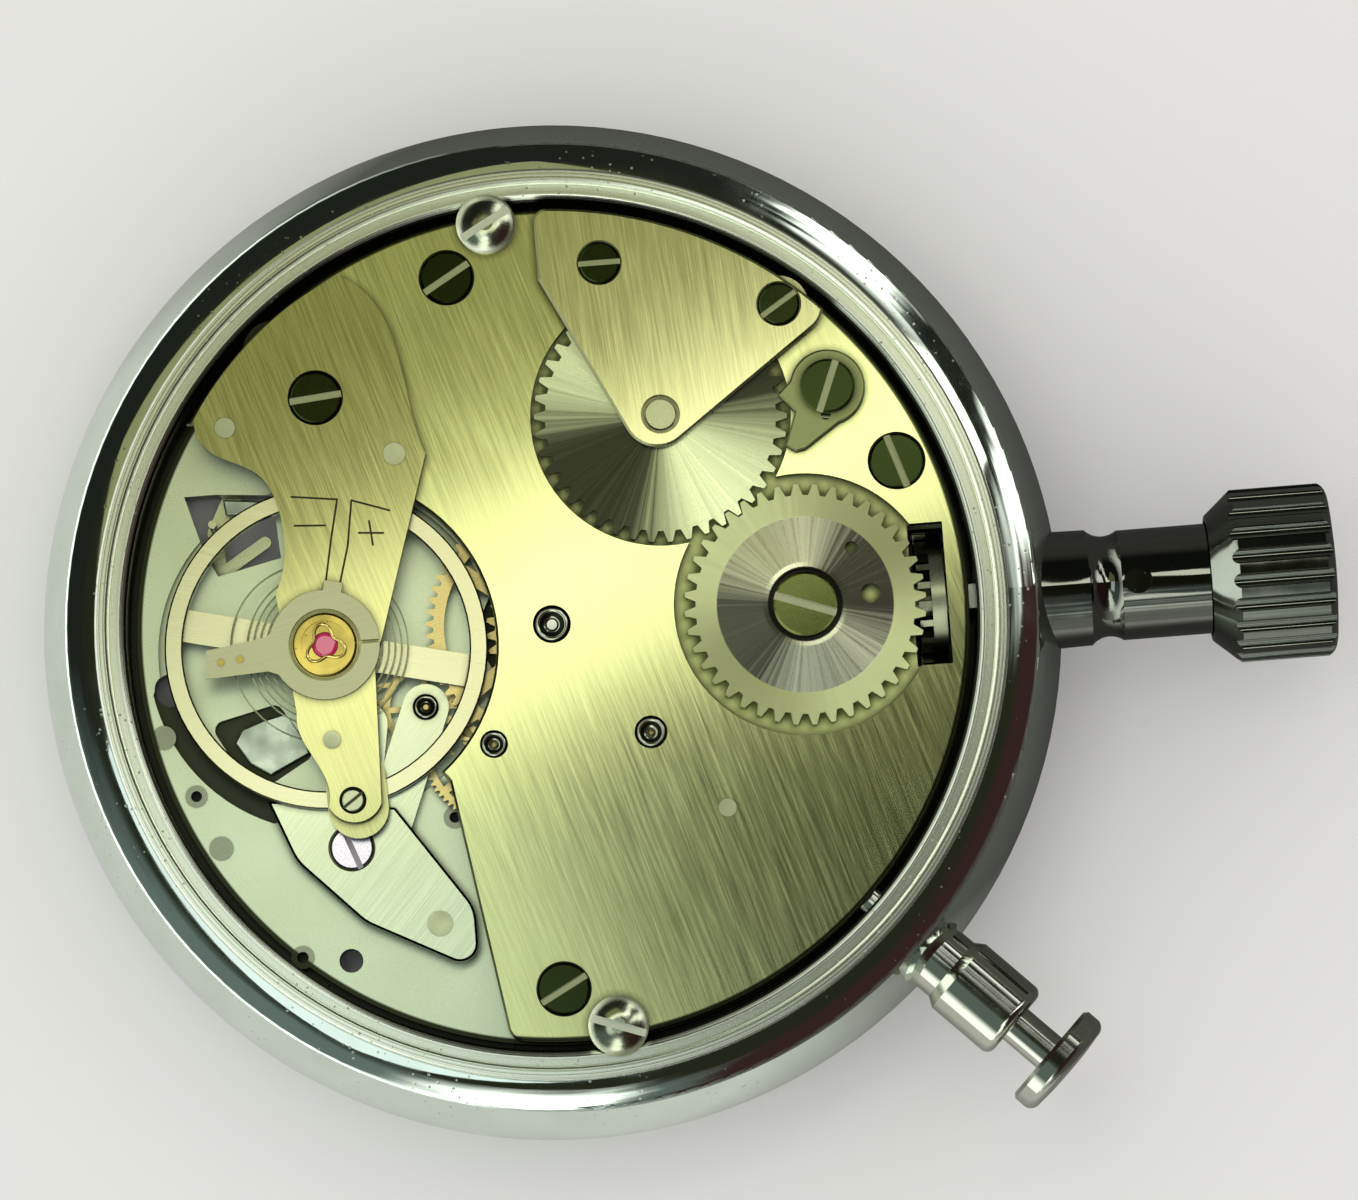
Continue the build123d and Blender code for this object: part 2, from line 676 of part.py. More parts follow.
with BuildPart() as pallet_bridge:
    with BuildSketch(level(PLATE_BACK)):
        with BuildLine():
            Polyline(
                (-14.8, -7.6), (-13.6, -10.7), (-10.4, -14.0),
                (-4.9, -16.9), (-4.9, -13.7), (-8.5, -8.4),
                close=True,
            )
        make_face()
        fillet(vertices().filter_by(lambda corner: -14 < corner.X < -10), 2.5)
        fillet(vertices().sort_by_distance((-4.9, -16.9))[0], 0.9)
        fillet(vertices().sort_by_distance((-4.9, -13.7))[0], 2.0)
    extrude(amount=PALLET_BRIDGE_BACK - PLATE_BACK)
    chamfer(pallet_bridge.faces().sort_by(Axis.Z)[-1].outer_wire().edges(), EDGE)
    # Low arms that carry the upper pivots of the escape wheel and the pallets
    for end, root in ((ESCAPE, (-8.9, -9.2)), (PALLET, (-10.6, -9.2))):
        with BuildSketch(level(PALLET_ARM[0])):
            with Locations(((root[0] + end[0]) / 2, (root[1] + end[1]) / 2)):
                SlotCenterToCenter(distance(root, end), 2 * ARM_END_R, rotation=heading(root, end))
        extrude(amount=PALLET_ARM[1] - PALLET_ARM[0])
    with BuildSketch(level(PALLET_ARM[0])):
        with Locations(ESCAPE):
            Circle(ESCAPE_JEWEL_R)
        with Locations(PALLET):
            Circle(PALLET_JEWEL_R)
    extrude(amount=PALLET_ARM[1] - PALLET_ARM[0], mode=Mode.SUBTRACT)
    with BuildSketch(level(PLATE_BACK)):
        with Locations(PALLET_SCREW[0]):
            Circle(TAPPED_HOLE_R)
        with Locations(PALLET_PIN[0]):
            Circle(PALLET_PIN[1])
    extrude(amount=PALLET_BRIDGE_BACK - PLATE_BACK, mode=Mode.SUBTRACT)
    with BuildSketch(level(PALLET_BRIDGE_BACK - SCREW_SINK)):
        with Locations(PALLET_SCREW[0]):
            Circle(PALLET_SCREW[1] + HEAD_GAP)
    extrude(amount=SCREW_SINK, mode=Mode.SUBTRACT)
save(pallet_bridge.part, "pallet_bridge")

SETTING_HOLE_R = 1.62
ENGRAVING_DEPTH = 0.06
ENGRAVING_WIDTH = 0.1
SCALE_STROKES = (
    ((-12.4, 7.25), (-10.15, 6.95), (-10.6, 5.0), (-11.0, 3.0)),
    ((-7.6, 6.2), (-9.45, 6.85), (-9.8, 4.6), (-10.3, 2.85)),
    ((-12.35, 5.8), (-10.85, 5.7)),
    ((-9.2, 5.2), (-8.0, 5.1)),
    ((-8.65, 5.75), (-8.55, 4.55)),
)

with BuildPart() as balance_cock:
    with BuildSketch(level(COCK_FRONT)):
        with BuildLine():
            Spline((-9.2, 18.1), (-7.7, 16.8), (-6.3, 12.1), (-5.6, 8.9))
            Polyline((-5.6, 8.9), (-6.3, 6.7), (-8.43, 0.0), (-8.9, -1.2), (-9.1, -8.3))
            ThreePointArc((-9.1, -8.3), (-10.4, -9.15), (-11.7, -8.3))
            Spline((-11.7, -8.3), (-11.75, -6.9), (-12.7, -5.0), (-12.95, -3.5))
            Line((-12.95, -3.5), (-13.55, 2.5))
            Spline((-13.55, 2.5), (-13.05, 6.5), (-14.0, 8.5), (-16.4, 9.9), (-16.95, 11.5))
            Spline((-16.95, 11.5), (-15.5, 13.5), (-12.0, 16.65), (-9.2, 18.1))
        make_face()
    extrude(amount=COCK_BACK - COCK_FRONT)
    # Foot that stands on the train bridge, outside the balance
    with BuildSketch(level(BRIDGE_BACK)):
        with Locations((-11.4, 12.4)):
            Rectangle(7.2, 6.4, rotation=-20)
        fillet(vertices(), 1.5)
    extrude(amount=COCK_FRONT - BRIDGE_BACK)
    with BuildSketch(level(BRIDGE_BACK)):
        with Locations(BALANCE):
            Circle(SETTING_HOLE_R)
        with Locations(COCK_SCREW[0]):
            Circle(SHANK_R)
        with Locations(TAIL_SCREW[0]):
            Circle(TAIL_SHANK_R)
        for pin, pin_r in COCK_PINS:
            with Locations(pin):
                Circle(pin_r)
        with Locations(STUD):
            Circle(STUD_R)
    extrude(amount=COCK_BACK - BRIDGE_BACK, mode=Mode.SUBTRACT)
    with BuildSketch(level(COCK_BACK - SCREW_SINK)):
        with Locations(COCK_SCREW[0]):
            Circle(COCK_SCREW[1] + HEAD_GAP)
    extrude(amount=SCREW_SINK, mode=Mode.SUBTRACT)
    with BuildSketch(level(COCK_BACK - TAIL_SCREW_SINK)):
        with Locations(TAIL_SCREW[0]):
            Circle(TAIL_SCREW[1] + HEAD_GAP)
    extrude(amount=TAIL_SCREW_SINK, mode=Mode.SUBTRACT)
    # Engraved scale for the regulator: two brackets, a minus and a plus
    with BuildSketch(level(COCK_BACK - ENGRAVING_DEPTH)):
        for stroke in SCALE_STROKES:
            for start, end in zip(stroke, stroke[1:]):
                with Locations(((start[0] + end[0]) / 2, (start[1] + end[1]) / 2)):
                    SlotCenterToCenter(distance(start, end), ENGRAVING_WIDTH, rotation=heading(start, end))
    extrude(amount=ENGRAVING_DEPTH, mode=Mode.SUBTRACT)
save(balance_cock.part, "balance_cock")

TAIL_PLATE_FRONT = 11.25

with BuildPart() as tail_plate:
    with BuildSketch(level(TAIL_PLATE_FRONT)):
        with Locations((-10.3, -7.6)):
            SlotOverall(4.6, 3.0, rotation=92)
        with Locations(TAIL_SCREW[0]):
            Circle(TAIL_SHANK_R, mode=Mode.SUBTRACT)
    extrude(amount=COCK_FRONT - TAIL_PLATE_FRONT)
save(tail_plate.part, "cock_tail_plate")

# Jewels, bushes, pins and screws ---------------------------------------------------------------

JEWEL_FOOT = 10.6
JEWEL_TOP = BRIDGE_BACK - 0.1
BUSH_FOOT = PLATE_FRONT + 0.2
PIN_PROUD = 0.03

with BuildPart() as train_jewels:
    add(ring(CENTRE, CENTRE_JEWEL_R, 0.3, JEWEL_SHELF_Z + FIT_GAP, JEWEL_TOP))
    add(ring(THIRD, THIRD_JEWEL_R, JEWEL_HOLE_R, JEWEL_FOOT, JEWEL_TOP))
    add(ring(FOURTH, FOURTH_JEWEL_R, JEWEL_HOLE_R, JEWEL_FOOT, JEWEL_TOP))
    add(ring(ESCAPE, ESCAPE_JEWEL_R, JEWEL_HOLE_R, PALLET_ARM[0], PALLET_ARM[1]))
    add(ring(PALLET, PALLET_JEWEL_R, JEWEL_HOLE_R, PALLET_ARM[0], PALLET_ARM[1]))
save(train_jewels.part, "train_jewels")

with BuildPart() as plate_bushes:
    for spot, spot_r in BUSHES:
        add(ring(spot, spot_r, spot_r * 0.5, BUSH_FOOT, PLATE_BACK + PIN_PROUD))
    for spot, spot_r in PLUGS:
        with BuildSketch(level(BUSH_FOOT, spot)):
            Circle(spot_r)
        extrude(amount=PLATE_BACK - BUSH_FOOT + PIN_PROUD)
save(plate_bushes.part, "plate_bushes")

with BuildPart() as steady_pins:
    for pin, pin_r in COCK_PINS:
        with BuildSketch(level(BRIDGE_BACK, pin)):
            Circle(pin_r)
        extrude(amount=COCK_BACK - BRIDGE_BACK + PIN_PROUD)
    with BuildSketch(level(PLATE_BACK, PALLET_PIN[0])):
        Circle(PALLET_PIN[1])
    extrude(amount=PALLET_BRIDGE_BACK - PLATE_BACK + PIN_PROUD)
    with BuildSketch(level(BRIDGE_FRONT, BRIDGE_PIN[0])):
        Circle(BRIDGE_PIN[1])
    extrude(amount=BRIDGE_BACK - BRIDGE_FRONT + PIN_PROUD)
save(steady_pins.part, "steady_pins")

with BuildPart() as bridge_screws:
    for centre, head_r, slot in BRIDGE_SCREWS:
        head_height = SCREW_SINK + HEAD_PROUD
        add(slotted_screw(centre, BRIDGE_BACK + HEAD_PROUD, head_r, head_height, slot, SHANK_R, 2.8))
save(bridge_screws.part, "bridge_screws")

with BuildPart() as barrel_plate_screws:
    for centre, head_r, slot in BARREL_PLATE_SCREWS:
        add(slotted_screw(centre, BARREL_PLATE_BACK + HEAD_PROUD, head_r, 0.5, slot, TAPPED_HOLE_R, 1.2))
save(barrel_plate_screws.part, "barrel_plate_screws")

with BuildPart() as case_screws:
    for centre, head_r, slot in CASE_SCREWS:
        add(slotted_screw(centre, BRIDGE_BACK + 0.75, head_r, 0.75, slot, TAPPED_HOLE_R, 0.7, dome=0.3))
save(case_screws.part, "case_screws")

for screw, top, head_height, shank_r, shank_length, label in (
    (COCK_SCREW, COCK_BACK, 0.6, SHANK_R, 1.2, "cock_screw"),
    (TAIL_SCREW, COCK_BACK, 0.35, TAIL_SHANK_R, 0.8, "tail_screw"),
    (PALLET_SCREW, PALLET_BRIDGE_BACK, 0.6, TAPPED_HOLE_R, 1.3, "pallet_bridge_screw"),
):
    centre, head_r, slot = screw
    save(slotted_screw(centre, top + HEAD_PROUD, head_r, head_height, slot, shank_r, shank_length), label)

SETTING_TOP = 12.7
SETTING_RIM_R = 1.2
CAP_SEAT = 12.2
CAP_JEWEL_R = 0.65

with BuildPart() as shock_setting:
    with BuildSketch(level(COCK_FRONT, BALANCE)):
        Circle(SETTING_HOLE_R)
    extrude(amount=COCK_BACK - COCK_FRONT)
    with BuildSketch(level(COCK_BACK, BALANCE)):
        Circle(SETTING_HOLE_R - 0.02)
    extrude(amount=SETTING_TOP - COCK_BACK)
    with BuildSketch(level(SETTING_TOP - 0.25, BALANCE)):
        Circle(SETTING_RIM_R)
    extrude(amount=0.25, mode=Mode.SUBTRACT)
    with BuildSketch(level(CAP_SEAT, BALANCE)):
        Circle(CAP_JEWEL_R)
    extrude(amount=0.4, mode=Mode.SUBTRACT)
    with BuildSketch(level(COCK_FRONT, BALANCE)):
        Circle(JEWEL_HOLE_R)
    extrude(amount=0.8, mode=Mode.SUBTRACT)
    chamfer(shock_setting.faces().sort_by(Axis.Z)[-1].outer_wire().edges(), EDGE)
save(shock_setting.part, "shock_setting")

with BuildPart() as cap_jewel:
    with BuildSketch(level(CAP_SEAT, BALANCE)):
        Circle(CAP_JEWEL_R)
    extrude(amount=0.35)
    fillet(cap_jewel.faces().sort_by(Axis.Z)[-1].edges(), 0.2)
save(cap_jewel.part, "cap_jewel")

# Winding work ----------------------------------------------------------------------------------

WHEEL_Z = (10.75, 11.35)
winding_module = module_of(BARREL, RATCHET_TEETH, CROWN_WHEEL, CROWN_WHEEL_TEETH)
crown_wheel_phase = 0.0
ratchet_phase = meshed_phase(CROWN_WHEEL, CROWN_WHEEL_TEETH, crown_wheel_phase, BARREL, RATCHET_TEETH)
ARBOR_SQUARE = 1.3

with BuildPart() as ratchet_wheel:
    with BuildSketch(level(WHEEL_Z[0], BARREL)):
        add(toothed_disc(RATCHET_TEETH, winding_module, ratchet_phase))
        Rectangle(ARBOR_SQUARE, ARBOR_SQUARE, mode=Mode.SUBTRACT)
    extrude(amount=WHEEL_Z[1] - WHEEL_Z[0])
save(ratchet_wheel.part, "ratchet_wheel")

HUB_R = 4.4
HUB_TOP = 11.6
HUB_TOP_R = 2.1
SCREW_SEAT_Z = 11.1
SCREW_SEAT_R = 1.8
CROWN_WHEEL_BORE_R = 1.25
HUB_HOLES = (((15.95, 0.3), 0.5), ((15.15, 2.65), 0.32))

with BuildPart() as crown_wheel:
    with BuildSketch(level(WHEEL_Z[0], CROWN_WHEEL)):
        add(toothed_disc(CROWN_WHEEL_TEETH, winding_module, crown_wheel_phase))
    extrude(amount=WHEEL_Z[1] - WHEEL_Z[0])
    # Flat-topped cone on the hub
    with BuildSketch(level(WHEEL_Z[1], CROWN_WHEEL)):
        Circle(HUB_R)
    with BuildSketch(level(HUB_TOP, CROWN_WHEEL)):
        Circle(HUB_TOP_R)
    loft()
    with BuildSketch(level(WHEEL_Z[0], CROWN_WHEEL)):
        Circle(CROWN_WHEEL_BORE_R)
    extrude(amount=HUB_TOP - WHEEL_Z[0], mode=Mode.SUBTRACT)
    with BuildSketch(level(SCREW_SEAT_Z, CROWN_WHEEL)):
        Circle(SCREW_SEAT_R)
    extrude(amount=HUB_TOP - SCREW_SEAT_Z, mode=Mode.SUBTRACT)
    with BuildSketch(level(WHEEL_Z[0])):
        for hole, hole_r in HUB_HOLES:
            with Locations(hole):
                Circle(hole_r)
    extrude(amount=HUB_TOP - WHEEL_Z[0], mode=Mode.SUBTRACT)
save(crown_wheel.part, "crown_wheel")

with BuildPart() as crown_wheel_screw:
    add(slotted_screw(CROWN_WHEEL, 11.7, 1.6, 0.55, -20, 1.2, 0.45))
    with BuildSketch(level(BRIDGE_FRONT, CROWN_WHEEL)):
        Circle(CROWN_WHEEL_POST_R)
    extrude(amount=RECESS_Z - BRIDGE_FRONT)
save(crown_wheel_screw.part, "crown_wheel_screw")

# The winding pinion's teeth stand out of its face, towards the crown wheel
PINION_DISC_X = (18.95, 19.65)
PINION_TOOTH_X = 18.3
PINION_OUTER_R = 3.42
PINION_TOOTH_INNER_R = 2.8
STEM_SQUARE = 1.2
SLEEVE_X = (17.9, 20.6)
SLEEVE_R = 1.4
pinion_tooth_width = 0.36 * pi * winding_module

with BuildPart() as winding_pinion:
    with BuildSketch(pendant_plane.offset(PINION_DISC_X[0])):
        Circle(PINION_OUTER_R)
    extrude(amount=PINION_DISC_X[1] - PINION_DISC_X[0])
    with BuildSketch(pendant_plane.offset(PINION_TOOTH_X)):
        for tooth in range(WINDING_PINION_TEETH):
            turn = 90 + 360 * (tooth + 0.5) / WINDING_PINION_TEETH
            with Locations(polar((PINION_OUTER_R + PINION_TOOTH_INNER_R) / 2, turn)):
                Rectangle(PINION_OUTER_R - PINION_TOOTH_INNER_R - 0.06, pinion_tooth_width, rotation=turn)
    extrude(amount=PINION_DISC_X[0] - PINION_TOOTH_X)
    with BuildSketch(pendant_plane.offset(SLEEVE_X[0])):
        Circle(SLEEVE_R)
    extrude(amount=SLEEVE_X[1] - SLEEVE_X[0])
    with BuildSketch(pendant_plane.offset(SLEEVE_X[0])):
        Rectangle(STEM_SQUARE + 2 * FIT_GAP, STEM_SQUARE + 2 * FIT_GAP)
    extrude(amount=SLEEVE_X[1] - SLEEVE_X[0], mode=Mode.SUBTRACT)
save(winding_pinion.part, "winding_pinion")

STEM_TIP = 16.9
SQUARE_END = 21.5
STEM_END = 37.0
STEM_R = 0.93
KNOB_FACE = 34.5

with BuildPart() as winding_stem:
    with BuildSketch(pendant_plane.offset(STEM_TIP)):
        Rectangle(STEM_SQUARE, STEM_SQUARE)
    extrude(amount=SQUARE_END + 0.1 - STEM_TIP)
    with BuildSketch(pendant_plane.offset(SQUARE_END)):
        Circle(STEM_R)
    extrude(amount=STEM_END - SQUARE_END)
save(winding_stem.part, "winding_stem")

KNOB_R = 4.33
KNOB_END = 39.3
KNOB_FOOT = 32.95
KNOB_BORE_R = 2.9
KNOB_EDGE_X = 38.7
CONE_END_X = 34.3
FLUTES = 22
FLUTE_R = 0.4
FLUTE_START_X = 33.3

with BuildPart() as crown_knob:
    with BuildSketch(pendant_section):
        with BuildLine():
            Polyline(
                (KNOB_END, 0.8),
                (KNOB_END, 0),
                (STEM_END, 0),
                (STEM_END, STEM_R),
                (KNOB_FACE, STEM_R),
                (KNOB_FACE, KNOB_BORE_R),
                (KNOB_FOOT, KNOB_BORE_R),
                (KNOB_FOOT, KNOB_BORE_R + 0.25),
                (CONE_END_X, KNOB_R),
                (KNOB_EDGE_X, KNOB_R),
            )
            ThreePointArc((KNOB_EDGE_X, KNOB_R), (39.0, 4.05), (39.1, 3.6))
            ThreePointArc((39.1, 3.6), (39.23, 2.3), (KNOB_END, 0.8))
        make_face()
    revolve(axis=pendant_axis)
    with BuildSketch(pendant_plane.offset(FLUTE_START_X)):
        with PolarLocations(KNOB_R + 0.12, FLUTES):
            Circle(FLUTE_R)
    extrude(amount=KNOB_END - FLUTE_START_X + 1, mode=Mode.SUBTRACT)
save(crown_knob.part, "crown_knob")


def coil_spring(plane, radius, wire_r, length, turns):
    """A coil spring that stands on the given plane."""
    with BuildPart() as spring:
        with BuildLine() as coil:
            Helix(length / turns, length, radius, center=plane.origin, direction=plane.z_dir)
        with BuildSketch(Plane(origin=coil.edges()[0] @ 0, z_dir=coil.edges()[0] % 0)):
            Circle(wire_r)
        sweep(is_frenet=True)
    return spring.part


save(coil_spring(pendant_plane.offset(25.65), 1.4, 0.2, 8.6, 7), "crown_spring")

PUSHER_TIP = 19.3
CAP_FOOT = 32.6
CAP_END = 34.0
CAP_R = 2.83
COLLAR_FOOT = 29.3

with BuildPart() as pusher_button:
    with BuildSketch(pusher_section):
        with BuildLine():
            Polyline(
                (CAP_END, 0.6),
                (CAP_END, 0),
                (PUSHER_TIP, 0),
                (PUSHER_TIP, PUSHER_STEM_R - 0.2),
                (PUSHER_TIP + 0.2, PUSHER_STEM_R),
                (COLLAR_FOOT, PUSHER_STEM_R),
                (COLLAR_FOOT, 1.5),
                (COLLAR_FOOT + 0.25, 1.5),
                (COLLAR_FOOT + 0.25, PUSHER_STEM_R),
                (CAP_FOOT, PUSHER_STEM_R),
                (CAP_FOOT, CAP_R - 0.2),
                (CAP_FOOT + 0.2, CAP_R),
                (CAP_END - 0.55, CAP_R),
            )
            ThreePointArc((CAP_END - 0.55, CAP_R), (CAP_END - 0.2, 2.6), (CAP_END - 0.1, 2.2))
            ThreePointArc((CAP_END - 0.1, 2.2), (CAP_END - 0.03, 1.4), (CAP_END, 0.6))
        make_face()
    revolve(axis=pusher_axis)
save(pusher_button.part, "pusher_button")

save(coil_spring(pusher_plane.offset(26.35), 1.28, 0.13, 2.8, 5), "pusher_spring")

CLICK_Z = (BRIDGE_BACK + 0.02, 12.0)
CLICK_R = 1.87
CLICK_PEEPHOLE = (14.4, 9.3)
CLICK_SPRING_R = (1.3, 1.5)

with BuildPart() as click:
    with BuildSketch(level(CLICK_Z[0])):
        with Locations(CLICK_PIVOT):
            Circle(CLICK_R)
        with BuildLine():
            Polyline(
                (14.2, 12.5), (12.1, 10.5), (12.9, 9.6), (12.3, 7.95),
                (12.8, 7.6), (13.3, 7.7), (16.1, 9.6),
                close=True,
            )
        make_face()
        with Locations(CLICK_PIVOT):
            Circle(SHANK_R + FIT_GAP, mode=Mode.SUBTRACT)
        with Locations(CLICK_PEEPHOLE):
            Circle(0.25, mode=Mode.SUBTRACT)
    extrude(amount=CLICK_Z[1] - CLICK_Z[0])
    chamfer(click.faces().sort_by(Axis.Z)[-1].outer_wire().edges(), 0.08)
save(click.part, "click")

save(slotted_screw(CLICK_PIVOT, 12.45, 1.35, 0.42, 68, SHANK_R, 1.0), "click_screw")

with BuildPart() as click_spring:
    with BuildSketch(level(CLICK_SINK_Z + 0.08, CLICK_PIVOT)):
        Circle(CLICK_SPRING_R[1])
        Circle(CLICK_SPRING_R[0], mode=Mode.SUBTRACT)
        with PolarLocations(CLICK_SPRING_R[0], 1, -40):
            Rectangle(1.2, 0.7, mode=Mode.SUBTRACT)
    extrude(amount=0.24)
save(click_spring.part, "click_spring")

# Barrel ----------------------------------------------------------------------------------------

BARREL_FRONT = 6.75
BARREL_COVER = (8.3, 8.5)
DRUM_R = 8.1
DRUM_INNER_R = 7.6
BARREL_ARBOR_R = 0.92
centre_pinion_module = module_of(BARREL, BARREL_TEETH, CENTRE, CENTRE_PINION_TEETH)
centre_pinion_phase = 0.0
barrel_phase = meshed_phase(CENTRE, CENTRE_PINION_TEETH, centre_pinion_phase, BARREL, BARREL_TEETH)

with BuildPart() as barrel_drum:
    with BuildSketch(level(BARREL_FRONT, BARREL)):
        add(toothed_disc(BARREL_TEETH, centre_pinion_module, barrel_phase))
    extrude(amount=0.5)
    with BuildSketch(level(BARREL_FRONT, BARREL)):
        Circle(DRUM_R)
    extrude(amount=BARREL_COVER[0] - BARREL_FRONT)
    with BuildSketch(level(BARREL_FRONT + 0.3, BARREL)):
        Circle(DRUM_INNER_R)
    extrude(amount=BARREL_COVER[0] - BARREL_FRONT, mode=Mode.SUBTRACT)
    with BuildSketch(level(BARREL_FRONT, BARREL)):
        Circle(BARREL_ARBOR_R + FIT_GAP)
    extrude(amount=1, mode=Mode.SUBTRACT)
save(barrel_drum.part, "barrel_drum")

save(ring(BARREL, DRUM_R, BARREL_ARBOR_R + FIT_GAP, *BARREL_COVER), "barrel_cover")

with BuildPart() as barrel_arbor:
    for arbor_r, low, high in (
        (0.7, 6.05, BARREL_FRONT),
        (BARREL_ARBOR_R, BARREL_FRONT, WHEEL_Z[0] - 0.02),
        (1.5, BARREL_FRONT + 0.35, BARREL_COVER[0] - 0.05),
        (ARBOR_END_R, WHEEL_Z[1], ARBOR_TOP),
    ):
        with BuildSketch(level(low, BARREL)):
            Circle(arbor_r)
        extrude(amount=high - low)
    with BuildSketch(level(WHEEL_Z[0] - 0.02, BARREL)):
        Rectangle(ARBOR_SQUARE, ARBOR_SQUARE)
    extrude(amount=WHEEL_Z[1] - WHEEL_Z[0] + 0.02)
save(barrel_arbor.part, "barrel_arbor")

with BuildPart() as mainspring:
    with BuildSketch(level(BARREL_FRONT + 0.4, BARREL)):
        add(spiral_strip(1.75, 7.4, 9, 0.16))
    extrude(amount=1.05)
save(mainspring.part, "mainspring")

# Going train -----------------------------------------------------------------------------------

centre_module = module_of(CENTRE, CENTRE_TEETH, THIRD, THIRD_PINION_TEETH)
third_module = module_of(THIRD, THIRD_TEETH, FOURTH, FOURTH_PINION_TEETH)
fourth_module = module_of(FOURTH, FOURTH_TEETH, ESCAPE, ESCAPE_PINION_TEETH)
seconds_module = module_of(FOURTH, SECONDS_TEETH, CENTRE, SECONDS_TEETH)
minute_train_module = module_of(MINUTE_INTERMEDIATE, INTERMEDIATE_PINION_TEETH, MINUTE, MINUTE_TEETH)
runner_module = module_of(CENTRE, RUNNER_PINION_TEETH, MINUTE_INTERMEDIATE, INTERMEDIATE_TEETH)

THIRD_PINION_Z = (9.65, 10.05)
CENTRE_WHEEL_Z = (9.75, 9.95)
THIRD_WHEEL_Z = (8.65, 8.9)
FOURTH_PINION_Z = (8.6, 8.95)
FOURTH_WHEEL_Z = (8.15, 8.4)
ESCAPE_PINION_Z = (8.1, 8.45)
ESCAPE_WHEEL_Z = (9.05, 9.3)
RUNNER_BORE_R = 0.32
ARBOR_TOP = 10.15
ARBOR_FOOT = 8.05
PIVOT_LENGTH = 0.4


def stack(centre, steps):
    """A turned arbor, as a stack of (radius, low, high) steps."""
    with BuildPart() as arbor:
        for step_r, low, high in steps:
            with BuildSketch(level(low, centre)):
                Circle(step_r)
            extrude(amount=high - low)
    return arbor.part


CENTRE_TUBE_Z = (6.1, 10.7)
CENTRE_TUBE_R = 0.62

with BuildPart() as centre_wheel:
    with BuildSketch(level(CENTRE_WHEEL_Z[0])):
        add(spoked_disc(toothed_disc(CENTRE_TEETH, centre_module), 5.4, 1.4, 5, 0.7))
    extrude(amount=CENTRE_WHEEL_Z[1] - CENTRE_WHEEL_Z[0])
    with BuildSketch(level(BARREL_FRONT)):
        add(toothed_disc(CENTRE_PINION_TEETH, centre_pinion_module, centre_pinion_phase))
    extrude(amount=0.55)
    with BuildSketch(level(CENTRE_TUBE_Z[0])):
        Circle(CENTRE_TUBE_R)
    extrude(amount=CENTRE_TUBE_Z[1] - CENTRE_TUBE_Z[0])
    with BuildSketch(level(CENTRE_TUBE_Z[0])):
        Circle(RUNNER_BORE_R)
    extrude(amount=CENTRE_TUBE_Z[1] - CENTRE_TUBE_Z[0], mode=Mode.SUBTRACT)
save(centre_wheel.part, "centre_wheel")

third_pinion_phase = meshed_phase(CENTRE, CENTRE_TEETH, 0.0, THIRD, THIRD_PINION_TEETH)

with BuildPart() as third_wheel:
    with BuildSketch(level(THIRD_WHEEL_Z[0], THIRD)):
        add(spoked_disc(toothed_disc(THIRD_TEETH, third_module), 5.7, 1.0, 5, 0.6))
    extrude(amount=THIRD_WHEEL_Z[1] - THIRD_WHEEL_Z[0])
    with BuildSketch(level(THIRD_PINION_Z[0], THIRD)):
        add(toothed_disc(THIRD_PINION_TEETH, centre_module, third_pinion_phase))
    extrude(amount=THIRD_PINION_Z[1] - THIRD_PINION_Z[0])
    add(
        stack(
            THIRD,
            (
                (PIVOT_R, ARBOR_FOOT - PIVOT_LENGTH, ARBOR_TOP + 0.8),
                (0.45, ARBOR_FOOT, ARBOR_TOP),
            ),
        )
    )
save(third_wheel.part, "third_wheel")

fourth_pinion_phase = meshed_phase(THIRD, THIRD_TEETH, 0.0, FOURTH, FOURTH_PINION_TEETH)
SECONDS_WHEEL_Z = (5.35, 5.6)

with BuildPart() as fourth_wheel:
    with BuildSketch(level(FOURTH_WHEEL_Z[0], FOURTH)):
        add(spoked_disc(toothed_disc(FOURTH_TEETH, fourth_module), 3.2, 0.8, 5, 0.4))
    extrude(amount=FOURTH_WHEEL_Z[1] - FOURTH_WHEEL_Z[0])
    with BuildSketch(level(FOURTH_PINION_Z[0], FOURTH)):
        add(toothed_disc(FOURTH_PINION_TEETH, third_module, fourth_pinion_phase))
    extrude(amount=FOURTH_PINION_Z[1] - FOURTH_PINION_Z[0])
    add(
        stack(
            FOURTH,
            (
                (PIVOT_R, ARBOR_TOP, ARBOR_TOP + 0.8),
                (FOURTH_ARBOR_R, ARBOR_FOOT, ARBOR_TOP),
                (FOURTH_ARBOR_R, SECONDS_WHEEL_Z[0] - 0.1, ARBOR_FOOT),
            ),
        )
    )
save(fourth_wheel.part, "fourth_wheel")

# Wheel on the fourth arbor's dial end, which turns the sweep runner
with BuildPart() as seconds_wheel:
    with BuildSketch(level(SECONDS_WHEEL_Z[0], FOURTH)):
        add(spoked_disc(toothed_disc(SECONDS_TEETH, seconds_module), 2.9, 0.8, 4, 0.4))
        Circle(FOURTH_ARBOR_R, mode=Mode.SUBTRACT)
    extrude(amount=SECONDS_WHEEL_Z[1] - SECONDS_WHEEL_Z[0])
save(seconds_wheel.part, "seconds_driving_wheel")

# Escapement ------------------------------------------------------------------------------------

ESCAPE_R = 2.75
ESCAPE_ROOT_R = 2.15
ESCAPE_RIM_INNER_R = 1.8
ESCAPE_HUB_R = 0.6
escape_pinion_phase = meshed_phase(FOURTH, FOURTH_TEETH, 0.0, ESCAPE, ESCAPE_PINION_TEETH)

